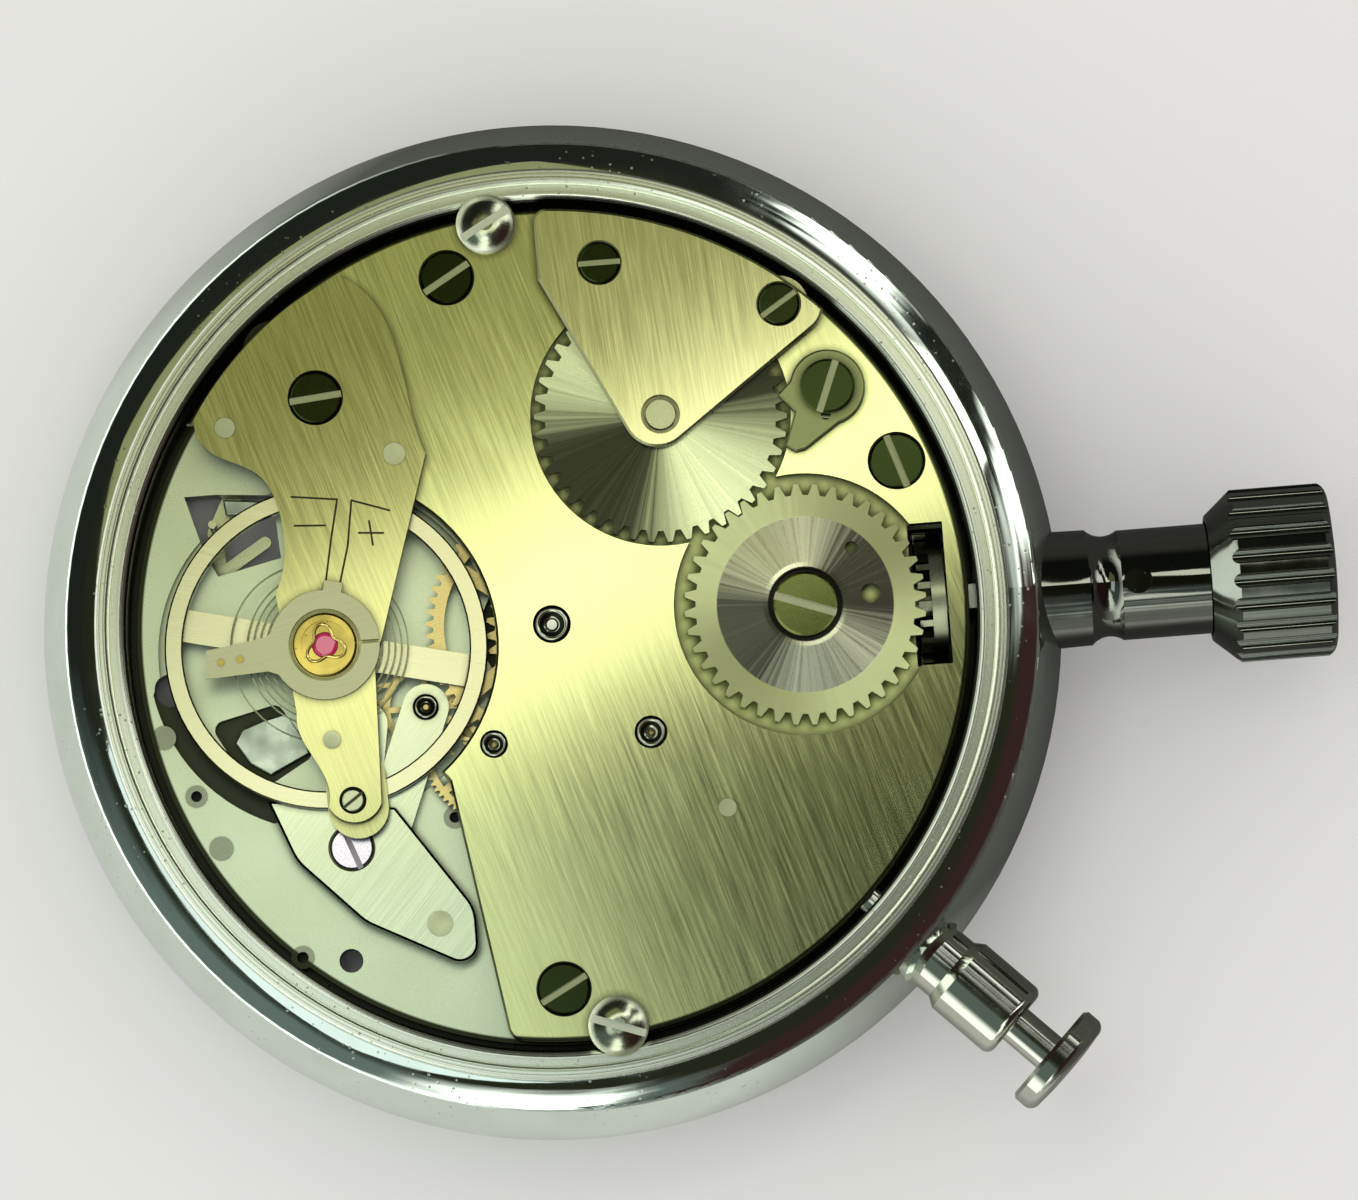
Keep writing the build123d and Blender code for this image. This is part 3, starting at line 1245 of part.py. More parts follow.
with BuildPart() as escape_wheel:
    with BuildSketch(level(ESCAPE_WHEEL_Z[0], ESCAPE)):
        with BuildLine():
            tooth_points = []
            for tooth in range(ESCAPE_TEETH):
                middle = 360 * tooth / ESCAPE_TEETH
                tooth_points.append(polar(ESCAPE_ROOT_R, middle - 4))
                tooth_points.append(polar(ESCAPE_R - 0.1, middle + 5))
                tooth_points.append(polar(ESCAPE_R, middle + 9))
                tooth_points.append(polar(ESCAPE_R - 0.2, middle + 8.5))
                tooth_points.append(polar(ESCAPE_ROOT_R, middle + 4))
            Polyline(*tooth_points, close=True)
        make_face()
        Circle(ESCAPE_RIM_INNER_R, mode=Mode.SUBTRACT)
        Circle(ESCAPE_HUB_R)
        with PolarLocations(0, 4):
            Rectangle(ESCAPE_RIM_INNER_R + 0.1, 0.28, align=(Align.MIN, Align.CENTER))
    extrude(amount=ESCAPE_WHEEL_Z[1] - ESCAPE_WHEEL_Z[0])
    with BuildSketch(level(ESCAPE_PINION_Z[0], ESCAPE)):
        add(toothed_disc(ESCAPE_PINION_TEETH, fourth_module, escape_pinion_phase))
    extrude(amount=ESCAPE_PINION_Z[1] - ESCAPE_PINION_Z[0])
    add(
        stack(
            ESCAPE,
            (
                (PIVOT_R, ARBOR_FOOT - PIVOT_LENGTH, PALLET_ARM[1] - 0.05),
                (ARBOR_R, ARBOR_FOOT, PALLET_ARM[0] - 0.03),
            ),
        )
    )
save(escape_wheel.part, "escape_wheel")

FORK_Z = (9.0, 9.3)
FORK_END_GAP = 1.0
STONE_R = 2.92
line_to_pallet = heading(ESCAPE, PALLET)
stones = [polar(STONE_R + 0.3, line_to_pallet + side * 30, ESCAPE) for side in (1, -1)]
line_to_balance = heading(PALLET, BALANCE)
fork_end = polar(distance(PALLET, BALANCE) - FORK_END_GAP, line_to_balance, PALLET)
notch = polar(0.35, line_to_balance + 180, fork_end)

with BuildPart() as pallet_fork:
    with BuildSketch(level(FORK_Z[0])):
        with Locations(PALLET):
            Circle(0.5)
        for stone in stones:
            with Locations(((PALLET[0] + stone[0]) / 2, (PALLET[1] + stone[1]) / 2)):
                Rectangle(distance(PALLET, stone), 0.5, rotation=heading(PALLET, stone))
        with Locations(((PALLET[0] + fork_end[0]) / 2, (PALLET[1] + fork_end[1]) / 2)):
            Rectangle(distance(PALLET, fork_end), 0.4, rotation=line_to_balance)
        with Locations(notch):
            Rectangle(0.7, 1.1, rotation=line_to_balance)
        with Locations(polar(0.15, line_to_balance, notch)):
            Rectangle(0.7, 0.36, rotation=line_to_balance, mode=Mode.SUBTRACT)
        for stone, side in zip(stones, (1, -1)):
            with Locations(stone):
                Rectangle(0.8, 0.24, rotation=line_to_pallet + side * 30, mode=Mode.SUBTRACT)
    extrude(amount=FORK_Z[1] - FORK_Z[0])
    add(
        stack(
            PALLET,
            (
                (PIVOT_R, ARBOR_FOOT - PIVOT_LENGTH, PALLET_ARM[1] - 0.05),
                (ARBOR_R, ARBOR_FOOT, PALLET_ARM[0] - 0.03),
            ),
        )
    )
save(pallet_fork.part, "pallet_fork")

with BuildPart() as pallet_stones:
    for stone, side in zip(stones, (1, -1)):
        with BuildSketch(level(FORK_Z[0])):
            with Locations(polar(0.02, line_to_pallet + side * 30, stone)):
                Rectangle(0.62, 0.24, rotation=line_to_pallet + side * 30)
        extrude(amount=FORK_Z[1] - FORK_Z[0])
save(pallet_stones.part, "pallet_stones")

# Balance ---------------------------------------------------------------------------------------

RIM_Z = (10.15, 10.8)
ARM_Z = (10.3, 10.6)
ARM_TURN = -13.5
ROLLER_Z = (9.6, 9.8)
ROLLER_R = 1.35
STAFF_R = 0.45
HAIRSPRING_Z = (10.95, 11.2)
COLLET_R = 0.62

with BuildPart() as balance_wheel:
    with BuildSketch(level(RIM_Z[0], BALANCE)):
        Circle(RIM_R)
        Circle(RIM_INNER_R, mode=Mode.SUBTRACT)
    extrude(amount=RIM_Z[1] - RIM_Z[0])
    chamfer(balance_wheel.faces().sort_by(Axis.Z)[-1].edges(), 0.08)
    with BuildSketch(level(ARM_Z[0], BALANCE)):
        Rectangle(2 * RIM_INNER_R + 0.2, 1.6, rotation=ARM_TURN)
        Circle(1.3)
        Circle(STAFF_R, mode=Mode.SUBTRACT)
    extrude(amount=ARM_Z[1] - ARM_Z[0])
save(balance_wheel.part, "balance_wheel")

with BuildPart() as balance_staff:
    add(
        stack(
            BALANCE,
            (
                (PIVOT_R, 7.4, 12.05),
                (ARBOR_R, ARBOR_FOOT - 0.3, ROLLER_Z[0]),
                (ROLLER_R, ROLLER_Z[0], ROLLER_Z[1]),
                (STAFF_R, ROLLER_Z[1], ARM_Z[1] + 0.1),
                (COLLET_R, ARM_Z[1] + 0.1, HAIRSPRING_Z[1]),
                (ARBOR_R, HAIRSPRING_Z[1], 11.45),
            ),
        )
    )
    # Impulse pin
    with BuildSketch(level(FORK_Z[1] + FIT_GAP, polar(1.1, line_to_balance + 180, BALANCE))):
        Circle(0.12)
    extrude(amount=ROLLER_Z[0] - FORK_Z[1] - FIT_GAP)
save(balance_staff.part, "balance_staff")

COIL_R = 4.15
COILS = 11
COIL_WIDTH = 0.07
CURB_ANGLE = 185.4
COILS_END = 360 * COILS
# The outer coil rises to the stud's radius, runs between the curb pins and stops at the stud
HAIRSPRING_END = COILS_END + 195
STUD_HALF_ANGLE = degrees(STUD_R / STUD_COIL_R)


def coil_radius(turned):
    """Radius of the hairspring's middle line after so many degrees, counted from the collet."""
    if turned <= COILS_END:
        inner_r = COLLET_R + COIL_WIDTH / 2
        return inner_r + (COIL_R - inner_r) * turned / COILS_END
    rise = min((turned - COILS_END) / 90, 1)
    return COIL_R + (STUD_COIL_R - COIL_R) * rise * rise * (3 - 2 * rise)


hairspring_start = STUD_ANGLE - STUD_HALF_ANGLE - HAIRSPRING_END

with BuildPart() as hairspring:
    with BuildSketch(level(HAIRSPRING_Z[0], BALANCE)):
        with BuildLine():
            edges = []
            for side in (-COIL_WIDTH / 2, COIL_WIDTH / 2):
                points = [
                    polar(coil_radius(turned) + side, hairspring_start + turned)
                    for turned in range(0, HAIRSPRING_END + 1, 15)
                ]
                edges.append(Spline(*points))
            Line(edges[0] @ 0, edges[1] @ 0)
            Line(edges[0] @ 1, edges[1] @ 1)
        make_face()
    extrude(amount=HAIRSPRING_Z[1] - HAIRSPRING_Z[0])
save(hairspring.part, "hairspring")

save(stack(STUD, ((STUD_R, HAIRSPRING_Z[0] - 0.1, COCK_BACK + 0.08),)), "hairspring_stud")

REGULATOR_Z = (COCK_BACK + 0.02, COCK_BACK + 0.26)
REGULATOR_R = 2.72
REGULATOR_INNER_R = 1.8
CURB_PIN_R = 0.17
curb_pins_at = [polar(radius, CURB_ANGLE, BALANCE) for radius in (4.27, 5.22)]

with BuildPart() as regulator:
    with BuildSketch(level(REGULATOR_Z[0])):
        with Locations(BALANCE):
            Circle(REGULATOR_R)
        with BuildLine():
            Polyline(
                (-12.6, 1.4), (-14.2, 0.35), (-17.2, -0.1),
                (-17.35, -1.5), (-14.2, -1.35), (-12.6, -2),
                close=True,
            )
        make_face()
        with Locations(BALANCE):
            Circle(REGULATOR_INNER_R, mode=Mode.SUBTRACT)
        # Pointer, and the slit that lets the ring spring onto the setting
        with Locations(polar(REGULATOR_R, 78, BALANCE)):
            Rectangle(0.9, 0.9, rotation=78)
        with Locations(polar(2.3, 0, BALANCE)):
            Rectangle(1.4, 0.18, mode=Mode.SUBTRACT)
        with Locations(*curb_pins_at):
            Circle(CURB_PIN_R, mode=Mode.SUBTRACT)
    extrude(amount=REGULATOR_Z[1] - REGULATOR_Z[0])
save(regulator.part, "regulator")

with BuildPart() as curb_pins:
    for pin in curb_pins_at:
        add(stack(pin, ((CURB_PIN_R, HAIRSPRING_Z[0] - 0.05, REGULATOR_Z[1] + 0.04),)))
save(curb_pins.part, "curb_pins")

# Dial-side work --------------------------------------------------------------------------------

HEART_Z = (5.65, 5.9)
RUNNER_PINION_Z = (4.9, 5.2)
INTERMEDIATE_WHEEL_Z = (4.95, 5.15)
MINUTE_WHEEL_Z = (4.6, 4.8)
RUNNER_HEART_R = 1.5
MINUTE_HEART_R = 1.2
HAND_BORE_R = 0.35
runner_phase = meshed_phase(FOURTH, SECONDS_TEETH, 0.0, CENTRE, SECONDS_TEETH)
intermediate_phase = meshed_phase(CENTRE, RUNNER_PINION_TEETH, 0.0, MINUTE_INTERMEDIATE, INTERMEDIATE_TEETH)
minute_phase = meshed_phase(MINUTE_INTERMEDIATE, INTERMEDIATE_PINION_TEETH, 0.0, MINUTE, MINUTE_TEETH)

with BuildPart() as sweep_runner:
    with BuildSketch(level(SECONDS_WHEEL_Z[0])):
        add(spoked_disc(toothed_disc(SECONDS_TEETH, seconds_module, runner_phase), 2.9, 0.9, 4, 0.4))
    extrude(amount=SECONDS_WHEEL_Z[1] - SECONDS_WHEEL_Z[0])
    with BuildSketch(level(RUNNER_PINION_Z[0])):
        add(toothed_disc(RUNNER_PINION_TEETH, runner_module))
    extrude(amount=RUNNER_PINION_Z[1] - RUNNER_PINION_Z[0])
    with BuildSketch(level(HEART_Z[0])):
        add(heart(RUNNER_HEART_R, 0.62))
    extrude(amount=HEART_Z[1] - HEART_Z[0])
    add(stack(CENTRE, ((0.25, HEART_Z[1], 11.1), (0.55, 4.5, HEART_Z[1]), (HAND_BORE_R, 2.1, 4.5))))
save(sweep_runner.part, "sweep_runner")

with BuildPart() as intermediate_wheel:
    with BuildSketch(level(INTERMEDIATE_WHEEL_Z[0], MINUTE_INTERMEDIATE)):
        disc = toothed_disc(INTERMEDIATE_TEETH, runner_module, intermediate_phase)
        add(spoked_disc(disc, 3.3, 0.7, 4, 0.4))
    extrude(amount=INTERMEDIATE_WHEEL_Z[1] - INTERMEDIATE_WHEEL_Z[0])
    with BuildSketch(level(4.55, MINUTE_INTERMEDIATE)):
        add(toothed_disc(INTERMEDIATE_PINION_TEETH, minute_train_module))
    extrude(amount=0.4)
    add(stack(MINUTE_INTERMEDIATE, ((ARBOR_R, 4.45, 6.45),)))
save(intermediate_wheel.part, "minute_intermediate_wheel")

with BuildPart() as minute_wheel:
    with BuildSketch(level(MINUTE_WHEEL_Z[0], MINUTE)):
        add(spoked_disc(toothed_disc(MINUTE_TEETH, minute_train_module, minute_phase), 3.1, 0.7, 4, 0.4))
    extrude(amount=MINUTE_WHEEL_Z[1] - MINUTE_WHEEL_Z[0])
    with BuildSketch(level(HEART_Z[0], MINUTE)):
        add(heart(MINUTE_HEART_R, 0.5))
    extrude(amount=HEART_Z[1] - HEART_Z[0])
    add(stack(MINUTE, ((ARBOR_R, 3.1, 6.45), (0.35, 5.3, HEART_Z[0]))))
save(minute_wheel.part, "minute_wheel")


def hand(centre, bore_r, hub_r, tail, reach, width, tip_width, low, high):
    """A tapered hand that points along +X, with a round counterweight on its tail."""
    with BuildPart() as pointer:
        with BuildSketch(level(low, centre)):
            with BuildLine():
                Polyline(
                    (0, -width / 2), (reach, -tip_width / 2),
                    (reach, tip_width / 2), (0, width / 2),
                    close=True,
                )
            make_face()
            with Locations((-tail / 2, 0)):
                Rectangle(tail, width)
            with Locations((-tail, 0)):
                Circle(width)
            Circle(hub_r)
            Circle(bore_r, mode=Mode.SUBTRACT)
        extrude(amount=high - low)
    return pointer.part


save(hand(CENTRE, HAND_BORE_R, 1.1, 5.2, 18.6, 0.7, 0.2, 2.2, 2.4), "sweep_hand")
save(hand(MINUTE, ARBOR_R, 0.6, 1.4, 3.2, 0.5, 0.2, 3.2, 3.35), "minute_hand")


LEVER_HUB_R = 1.3
HAMMER_PIN_R = 0.5
HAMMER_PIN_TOP = 8.6


def bars(centre, lengths):
    """A lever's outline as straight bars with round ends, drawn as (start, end, width)."""
    with BuildSketch() as lever:
        for start, end, width in lengths:
            with Locations(((start[0] + end[0]) / 2, (start[1] + end[1]) / 2)):
                SlotCenterToCenter(distance(start, end), width, rotation=heading(start, end))
        with Locations(centre):
            Circle(LEVER_HUB_R)
            Circle(HAMMER_POST_R + FIT_GAP, mode=Mode.SUBTRACT)
    return lever.sketch


# The hammer is drawn where it meets both heart cams, then turned back to rest about its post
HAMMER_TAIL = (12.778, -11.79)
hammer_bars = (
    (HAMMER_PIVOT, (2.3, -2.2), 1.2),
    ((2.3, -6.0), (9.2, -3.4), 1.0),
    ((9.2, -3.4), (10.3, -1.8), 1.0),
    (HAMMER_PIVOT, HAMMER_TAIL, 1.4),
)
hammer_rest = Pos(*HAMMER_PIVOT) * Rot(Z=-HAMMER_SWING) * Pos(-HAMMER_PIVOT[0], -HAMMER_PIVOT[1])
hammer_tail_rest = polar(
    distance(HAMMER_PIVOT, HAMMER_TAIL),
    heading(HAMMER_PIVOT, HAMMER_TAIL) - HAMMER_SWING,
    HAMMER_PIVOT,
)

with BuildSketch() as hammer_outline:
    add(bars(HAMMER_PIVOT, hammer_bars))
    with Locations((RUNNER_HEART_R + 0.1, 0.55)):
        Rectangle(1.1, 2.6, align=(Align.MIN, Align.MAX))
    with Locations((MINUTE[0] + MINUTE_HEART_R + 0.1, 0.8)):
        Rectangle(1.0, 3.0, align=(Align.MIN, Align.MAX))

with BuildPart() as reset_hammer:
    with BuildSketch(level(HEART_Z[0])):
        add(hammer_rest * hammer_outline.sketch)
    extrude(amount=HEART_Z[1] - HEART_Z[0])
    # Post that the pusher's stem meets
    with BuildSketch(level(HEART_Z[0], hammer_tail_rest)):
        Circle(HAMMER_PIN_R)
    extrude(amount=HAMMER_PIN_TOP - HEART_Z[0])
save(reset_hammer.part, "reset_hammer")

LEVER_TAB = (16.35, 0.0)
BRAKE_PIN = (-16.5, 6.35)
lever_bars = (
    (LEVER_PIVOT, (11.5, 11.8), 1.4),
    ((11.5, 11.8), (15.6, 6.0), 1.2),
    ((15.6, 6.0), LEVER_TAB, 1.0),
    (LEVER_PIVOT, (-8.0, 14.5), 1.4),
    ((-8.0, 14.5), (-14.8, 9.6), 1.2),
    ((-14.8, 9.6), BRAKE_PIN, 0.9),
    (BRAKE_PIN, (-16.4, 4.3), 0.6),
    ((-16.4, 4.3), (-14.1, 5.7), 0.6),
)

with BuildPart() as start_stop_lever:
    with BuildSketch(level(HEART_Z[0])):
        add(bars(LEVER_PIVOT, lever_bars))
    extrude(amount=HEART_Z[1] - HEART_Z[0])
    # Tab that the stem pushes, and the pin that brakes the balance's rim
    for spot, spot_r, top in ((LEVER_TAB, 0.45, 8.5), (BRAKE_PIN, 0.2, 10.7)):
        with BuildSketch(level(HEART_Z[0], spot)):
            Circle(spot_r)
        extrude(amount=top - HEART_Z[0])
save(start_stop_lever.part, "start_stop_lever")
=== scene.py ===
import json
import math

import bmesh
import bpy
from mathutils import Matrix, Vector


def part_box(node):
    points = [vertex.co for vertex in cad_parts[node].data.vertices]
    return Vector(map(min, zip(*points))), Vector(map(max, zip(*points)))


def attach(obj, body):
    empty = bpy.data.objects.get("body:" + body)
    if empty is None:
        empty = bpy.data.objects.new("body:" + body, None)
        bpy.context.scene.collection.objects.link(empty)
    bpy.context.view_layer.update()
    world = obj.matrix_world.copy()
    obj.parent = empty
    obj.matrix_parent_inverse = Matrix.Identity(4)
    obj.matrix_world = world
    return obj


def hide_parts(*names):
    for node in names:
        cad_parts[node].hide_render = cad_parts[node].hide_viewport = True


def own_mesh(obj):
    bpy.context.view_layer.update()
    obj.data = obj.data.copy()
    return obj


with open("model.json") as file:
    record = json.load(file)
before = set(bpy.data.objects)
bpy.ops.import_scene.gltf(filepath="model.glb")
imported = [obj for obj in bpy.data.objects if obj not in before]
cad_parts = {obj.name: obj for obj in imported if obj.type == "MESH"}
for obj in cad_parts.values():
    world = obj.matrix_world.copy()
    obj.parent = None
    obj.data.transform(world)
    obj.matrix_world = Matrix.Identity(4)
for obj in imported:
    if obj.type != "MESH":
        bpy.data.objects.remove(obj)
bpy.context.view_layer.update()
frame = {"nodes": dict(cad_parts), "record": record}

# The looks of a mechanical stopwatch, lying on its crystal with its back off, around its CAD frame.
MM = 0.001
UP = Vector((0, 0, 1))


def place(x, y, z=0.0):
    """A point given in millimetres, in the frame's metres."""
    return Vector((x, y, z)) * MM


def pivot(joint):
    """A point on a CAD joint's axis."""
    for found in frame["record"]["behaviour"]["joints"]:
        if found["name"] == joint:
            return Vector(found["pos_m"])
    raise KeyError(joint)


BALANCE = pivot("balance_swing")
RATCHET = pivot("ratchet_turn")
CROWN_WHEEL = pivot("crown_wheel_turn")
BRIDGE_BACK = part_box("train_bridge")[1].z

# Heights and radii of the CAD, in millimetres, that a material changes at
BRIDGE_SINK_Z = 11.3
MAIN_PLATE_SINK_Z = 7.6
COCK_ENGRAVING_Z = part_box("balance_cock")[1].z / MM - 0.03
PLATE_RIM_R = 20.5
BORE_R = 21.3
NECK_R = 22.72
TOOTH_ROOT_R = 4.38
SCREW_COLLAR_R = 1.85

# Node helpers ----------------------------------------------------------------------------------


def add_node(tree, kind, inputs=None, **settings):
    """A shader node. An input that is a socket is linked, and any other is set."""
    made = tree.nodes.new(kind)
    for name, value in settings.items():
        setattr(made, name, value)
    for name, value in (inputs or {}).items():
        if isinstance(value, bpy.types.NodeSocket):
            tree.links.new(value, made.inputs[name])
        else:
            made.inputs[name].default_value = value
    return made


def maths(tree, operation, first, second=0.0, third=0.0):
    return add_node(tree, "ShaderNodeMath", {0: first, 1: second, 2: third}, operation=operation).outputs[0]


def blend_colours(tree, factor, first, second, kind="MIX"):
    mixed = add_node(tree, "ShaderNodeMix", {0: factor}, data_type="RGBA", blend_type=kind)
    for socket, value in ((mixed.inputs[6], first), (mixed.inputs[7], second)):
        if isinstance(value, bpy.types.NodeSocket):
            tree.links.new(value, socket)
        else:
            socket.default_value = (*value, 1)
    return mixed.outputs[2]


def spread(tree, value, low, high, new_low, new_high):
    """A value carried from one range to another, and held at its ends."""
    made = add_node(
        tree,
        "ShaderNodeMapRange",
        {"Value": value, "From Min": low, "From Max": high, "To Min": new_low, "To Max": new_high},
    )
    return made.outputs[0]


def noise(tree, where, size, detail=2.0):
    """Noise whose features are about this many metres across."""
    made = add_node(tree, "ShaderNodeTexNoise", {"Vector": where, "Scale": 1 / size, "Detail": detail})
    return made.outputs[0]


def noise_along(tree, value, detail):
    """Noise in one dimension, along a value."""
    made = add_node(
        tree, "ShaderNodeTexNoise", {"W": value, "Scale": 1.0, "Detail": detail}, noise_dimensions="1D"
    )
    return made.outputs[0]


def pits(tree, where, size):
    """How far a point is from the nearest of many scattered pits."""
    return add_node(tree, "ShaderNodeTexVoronoi", {"Vector": where, "Scale": 1 / size}).outputs[0]


def vector_maths(tree, operation, first, second):
    return add_node(tree, "ShaderNodeVectorMath", {0: first, 1: second}, operation=operation)


def along_grain(tree, where, heading, width, length):
    """Coordinates stretched along a heading in degrees, in units of the grain's width and length."""
    turned = add_node(
        tree,
        "ShaderNodeVectorRotate",
        {"Vector": where, "Axis": (0, 0, 1), "Angle": -math.radians(heading)},
        rotation_type="AXIS_ANGLE",
    )
    scale = (1 / length, 1 / width, 1 / length)
    return vector_maths(tree, "MULTIPLY", turned.outputs[0], scale).outputs[0]


def start_material(name):
    """An empty node material, with its tree, its shader and the object's own coordinates."""
    made = bpy.data.materials.new(name)
    made.use_nodes = True
    tree = made.node_tree
    shader = tree.nodes["Principled BSDF"]
    where = tree.nodes.new("ShaderNodeTexCoord").outputs["Object"]
    return made, tree, shader, where


def split(tree, vector):
    """The x, y and z of a vector."""
    return add_node(tree, "ShaderNodeSeparateXYZ", {0: vector}).outputs


def radius_of(tree, vector):
    """A point's distance from the z axis."""
    x, y, _ = split(tree, vector)
    squares = maths(tree, "ADD", maths(tree, "MULTIPLY", x, x), maths(tree, "MULTIPLY", y, y))
    return maths(tree, "SQRT", squares)


def edge_shade(tree, where, tone, rim_r=PLATE_RIM_R):
    """Paints shade on a plate's sides and bevels, which turn away from the light, in its corners, where
    nearby parts shade it, and on its outer rim.
    """
    corner_reach = 0.45 * MM
    normal = tree.nodes.new("ShaderNodeNewGeometry").outputs["Normal"]
    side = spread(tree, split(tree, normal)[2], 0.6, 0.97, 1.0, 0.0)
    rim = spread(tree, radius_of(tree, where), rim_r * MM, (rim_r + 0.1) * MM, 0.0, 1.0)
    # Painted shade in corners, by ambient occlusion.
    corner = tree.nodes.new("ShaderNodeAmbientOcclusion")
    corner.samples = 4
    corner.inputs["Distance"].default_value = corner_reach
    near = spread(tree, corner.outputs["AO"], 0.5, 0.9, 0.85, 0.0)
    dark = maths(tree, "MAXIMUM", maths(tree, "MAXIMUM", side, rim), near)
    return blend_colours(tree, dark, tone, (0.035, 0.04, 0.02))


def bump(tree, height, distance):
    return add_node(
        tree, "ShaderNodeBump", {"Height": height, "Distance": distance, "Strength": 1.0}
    ).outputs[0]


# Materials -------------------------------------------------------------------------------------


def brushed_metal(
    name, colour, heading, roughness=0.17, contrast=0.16,
    sunk_z=0.0, sunk_tone=(0.74, 0.79, 0.34), rim_r=PLATE_RIM_R,
):
    """Plated metal with a straight grain, as ground on a bridge, matte in its sinks below sunk_z, in
    sunk_tone, and with painted shade on its sides, corners and rim.
    """
    width = 0.05 * MM
    length = 3.0 * MM
    made, tree, shader, where = start_material(name)
    across = math.radians(heading - 90)
    flat = add_node(tree, "ShaderNodeCombineXYZ", {0: math.cos(across), 1: math.sin(across)})
    tree.links.new(flat.outputs[0], shader.inputs["Tangent"])
    shader.inputs["Anisotropic"].default_value = 0.55
    fine = noise(tree, along_grain(tree, where, heading, width, length), 1.0, 3.0)
    broad = noise(tree, along_grain(tree, where, heading, 4 * width, 2 * length), 1.0, 2.0)
    cloud = noise(tree, where, 6 * MM, 2.0)
    streaks = maths(tree, "ADD", maths(tree, "MULTIPLY", fine, 0.6), maths(tree, "MULTIPLY", broad, 0.4))
    dark = [c * (1 - contrast) for c in colour]
    light = [min(1, c * (1 + contrast)) for c in colour]
    tone = blend_colours(tree, spread(tree, streaks, 0.35, 0.65, 0, 1), dark, light)
    tarnish = spread(tree, cloud, 0.4, 0.7, 0.0, 0.12)
    tone = blend_colours(tree, tarnish, tone, (0.62, 0.60, 0.34), "MULTIPLY")
    height = split(tree, where)[2]
    # The sinks take sunk_tone, which on the cock is painted shade.
    sunk = spread(tree, height, (sunk_z - 0.02) * MM, sunk_z * MM, 1.0, 0.0)
    tone = blend_colours(tree, sunk, tone, sunk_tone)
    tree.links.new(edge_shade(tree, where, tone, rim_r), shader.inputs["Base Color"])
    polish = spread(tree, streaks, 0.3, 0.7, roughness - 0.03, roughness + 0.05)
    tree.links.new(maths(tree, "MULTIPLY_ADD", sunk, 0.3, polish), shader.inputs["Roughness"])
    tree.links.new(bump(tree, streaks, 0.0006 * MM), shader.inputs["Normal"])
    shader.inputs["Metallic"].default_value = 1
    return made


def frosted_metal(name, colour):
    """Plated metal with a fine matte grain, with painted shade in a main plate's sinks and on its sides,
    corners and rim.
    """
    roughness = 0.3
    made, tree, shader, where = start_material(name)
    fine = noise(tree, where, 0.05 * MM, 4.0)
    cloud = noise(tree, where, 3 * MM, 3.0)
    dark = [c * 0.9 for c in colour]
    light = [min(1, c * 1.08) for c in colour]
    tone = blend_colours(tree, spread(tree, fine, 0.3, 0.7, 0, 1), dark, light)
    tone = blend_colours(tree, spread(tree, cloud, 0.4, 0.75, 0, 0.2), tone, (0.7, 0.72, 0.55), "MULTIPLY")
    height = split(tree, where)[2]
    # Painted shade in the sinks, below MAIN_PLATE_SINK_Z.
    sunk = spread(tree, height, (MAIN_PLATE_SINK_Z - 0.3) * MM, MAIN_PLATE_SINK_Z * MM, 1.0, 0.0)
    tone = blend_colours(tree, sunk, tone, (0.05, 0.055, 0.035))
    tree.links.new(edge_shade(tree, where, tone), shader.inputs["Base Color"])
    polish = spread(tree, fine, 0.2, 0.8, roughness - 0.06, roughness + 0.06)
    tree.links.new(polish, shader.inputs["Roughness"])
    tree.links.new(bump(tree, fine, 0.0006 * MM), shader.inputs["Normal"])
    shader.inputs["Metallic"].default_value = 1
    return made


def polished_metal(name, colour, roughness=0.08, wear=0.5):
    """Bright metal with hair scratches, pits and smudges."""
    made, tree, shader, where = start_material(name)
    smudge = noise(tree, where, 2.5 * MM, 3.0)
    scratches = noise(tree, along_grain(tree, where, 25, 0.03 * MM, 1.5 * MM), 1.0, 2.0)
    worn = spread(tree, pits(tree, where, 0.5 * MM), 0.06, 0.11, wear, 0.0)
    tone = blend_colours(tree, spread(tree, smudge, 0.35, 0.7, 0, 1), colour, [c * 0.9 for c in colour])
    tone = blend_colours(tree, worn, tone, [c * 0.45 for c in colour])
    tree.links.new(tone, shader.inputs["Base Color"])
    haze = spread(tree, smudge, 0.4, 0.75, roughness, roughness * 2.2)
    tree.links.new(maths(tree, "ADD", haze, maths(tree, "MULTIPLY", worn, 0.3)), shader.inputs["Roughness"])
    tree.links.new(bump(tree, scratches, 0.0003 * MM), shader.inputs["Normal"])
    shader.inputs["Metallic"].default_value = 1
    return made


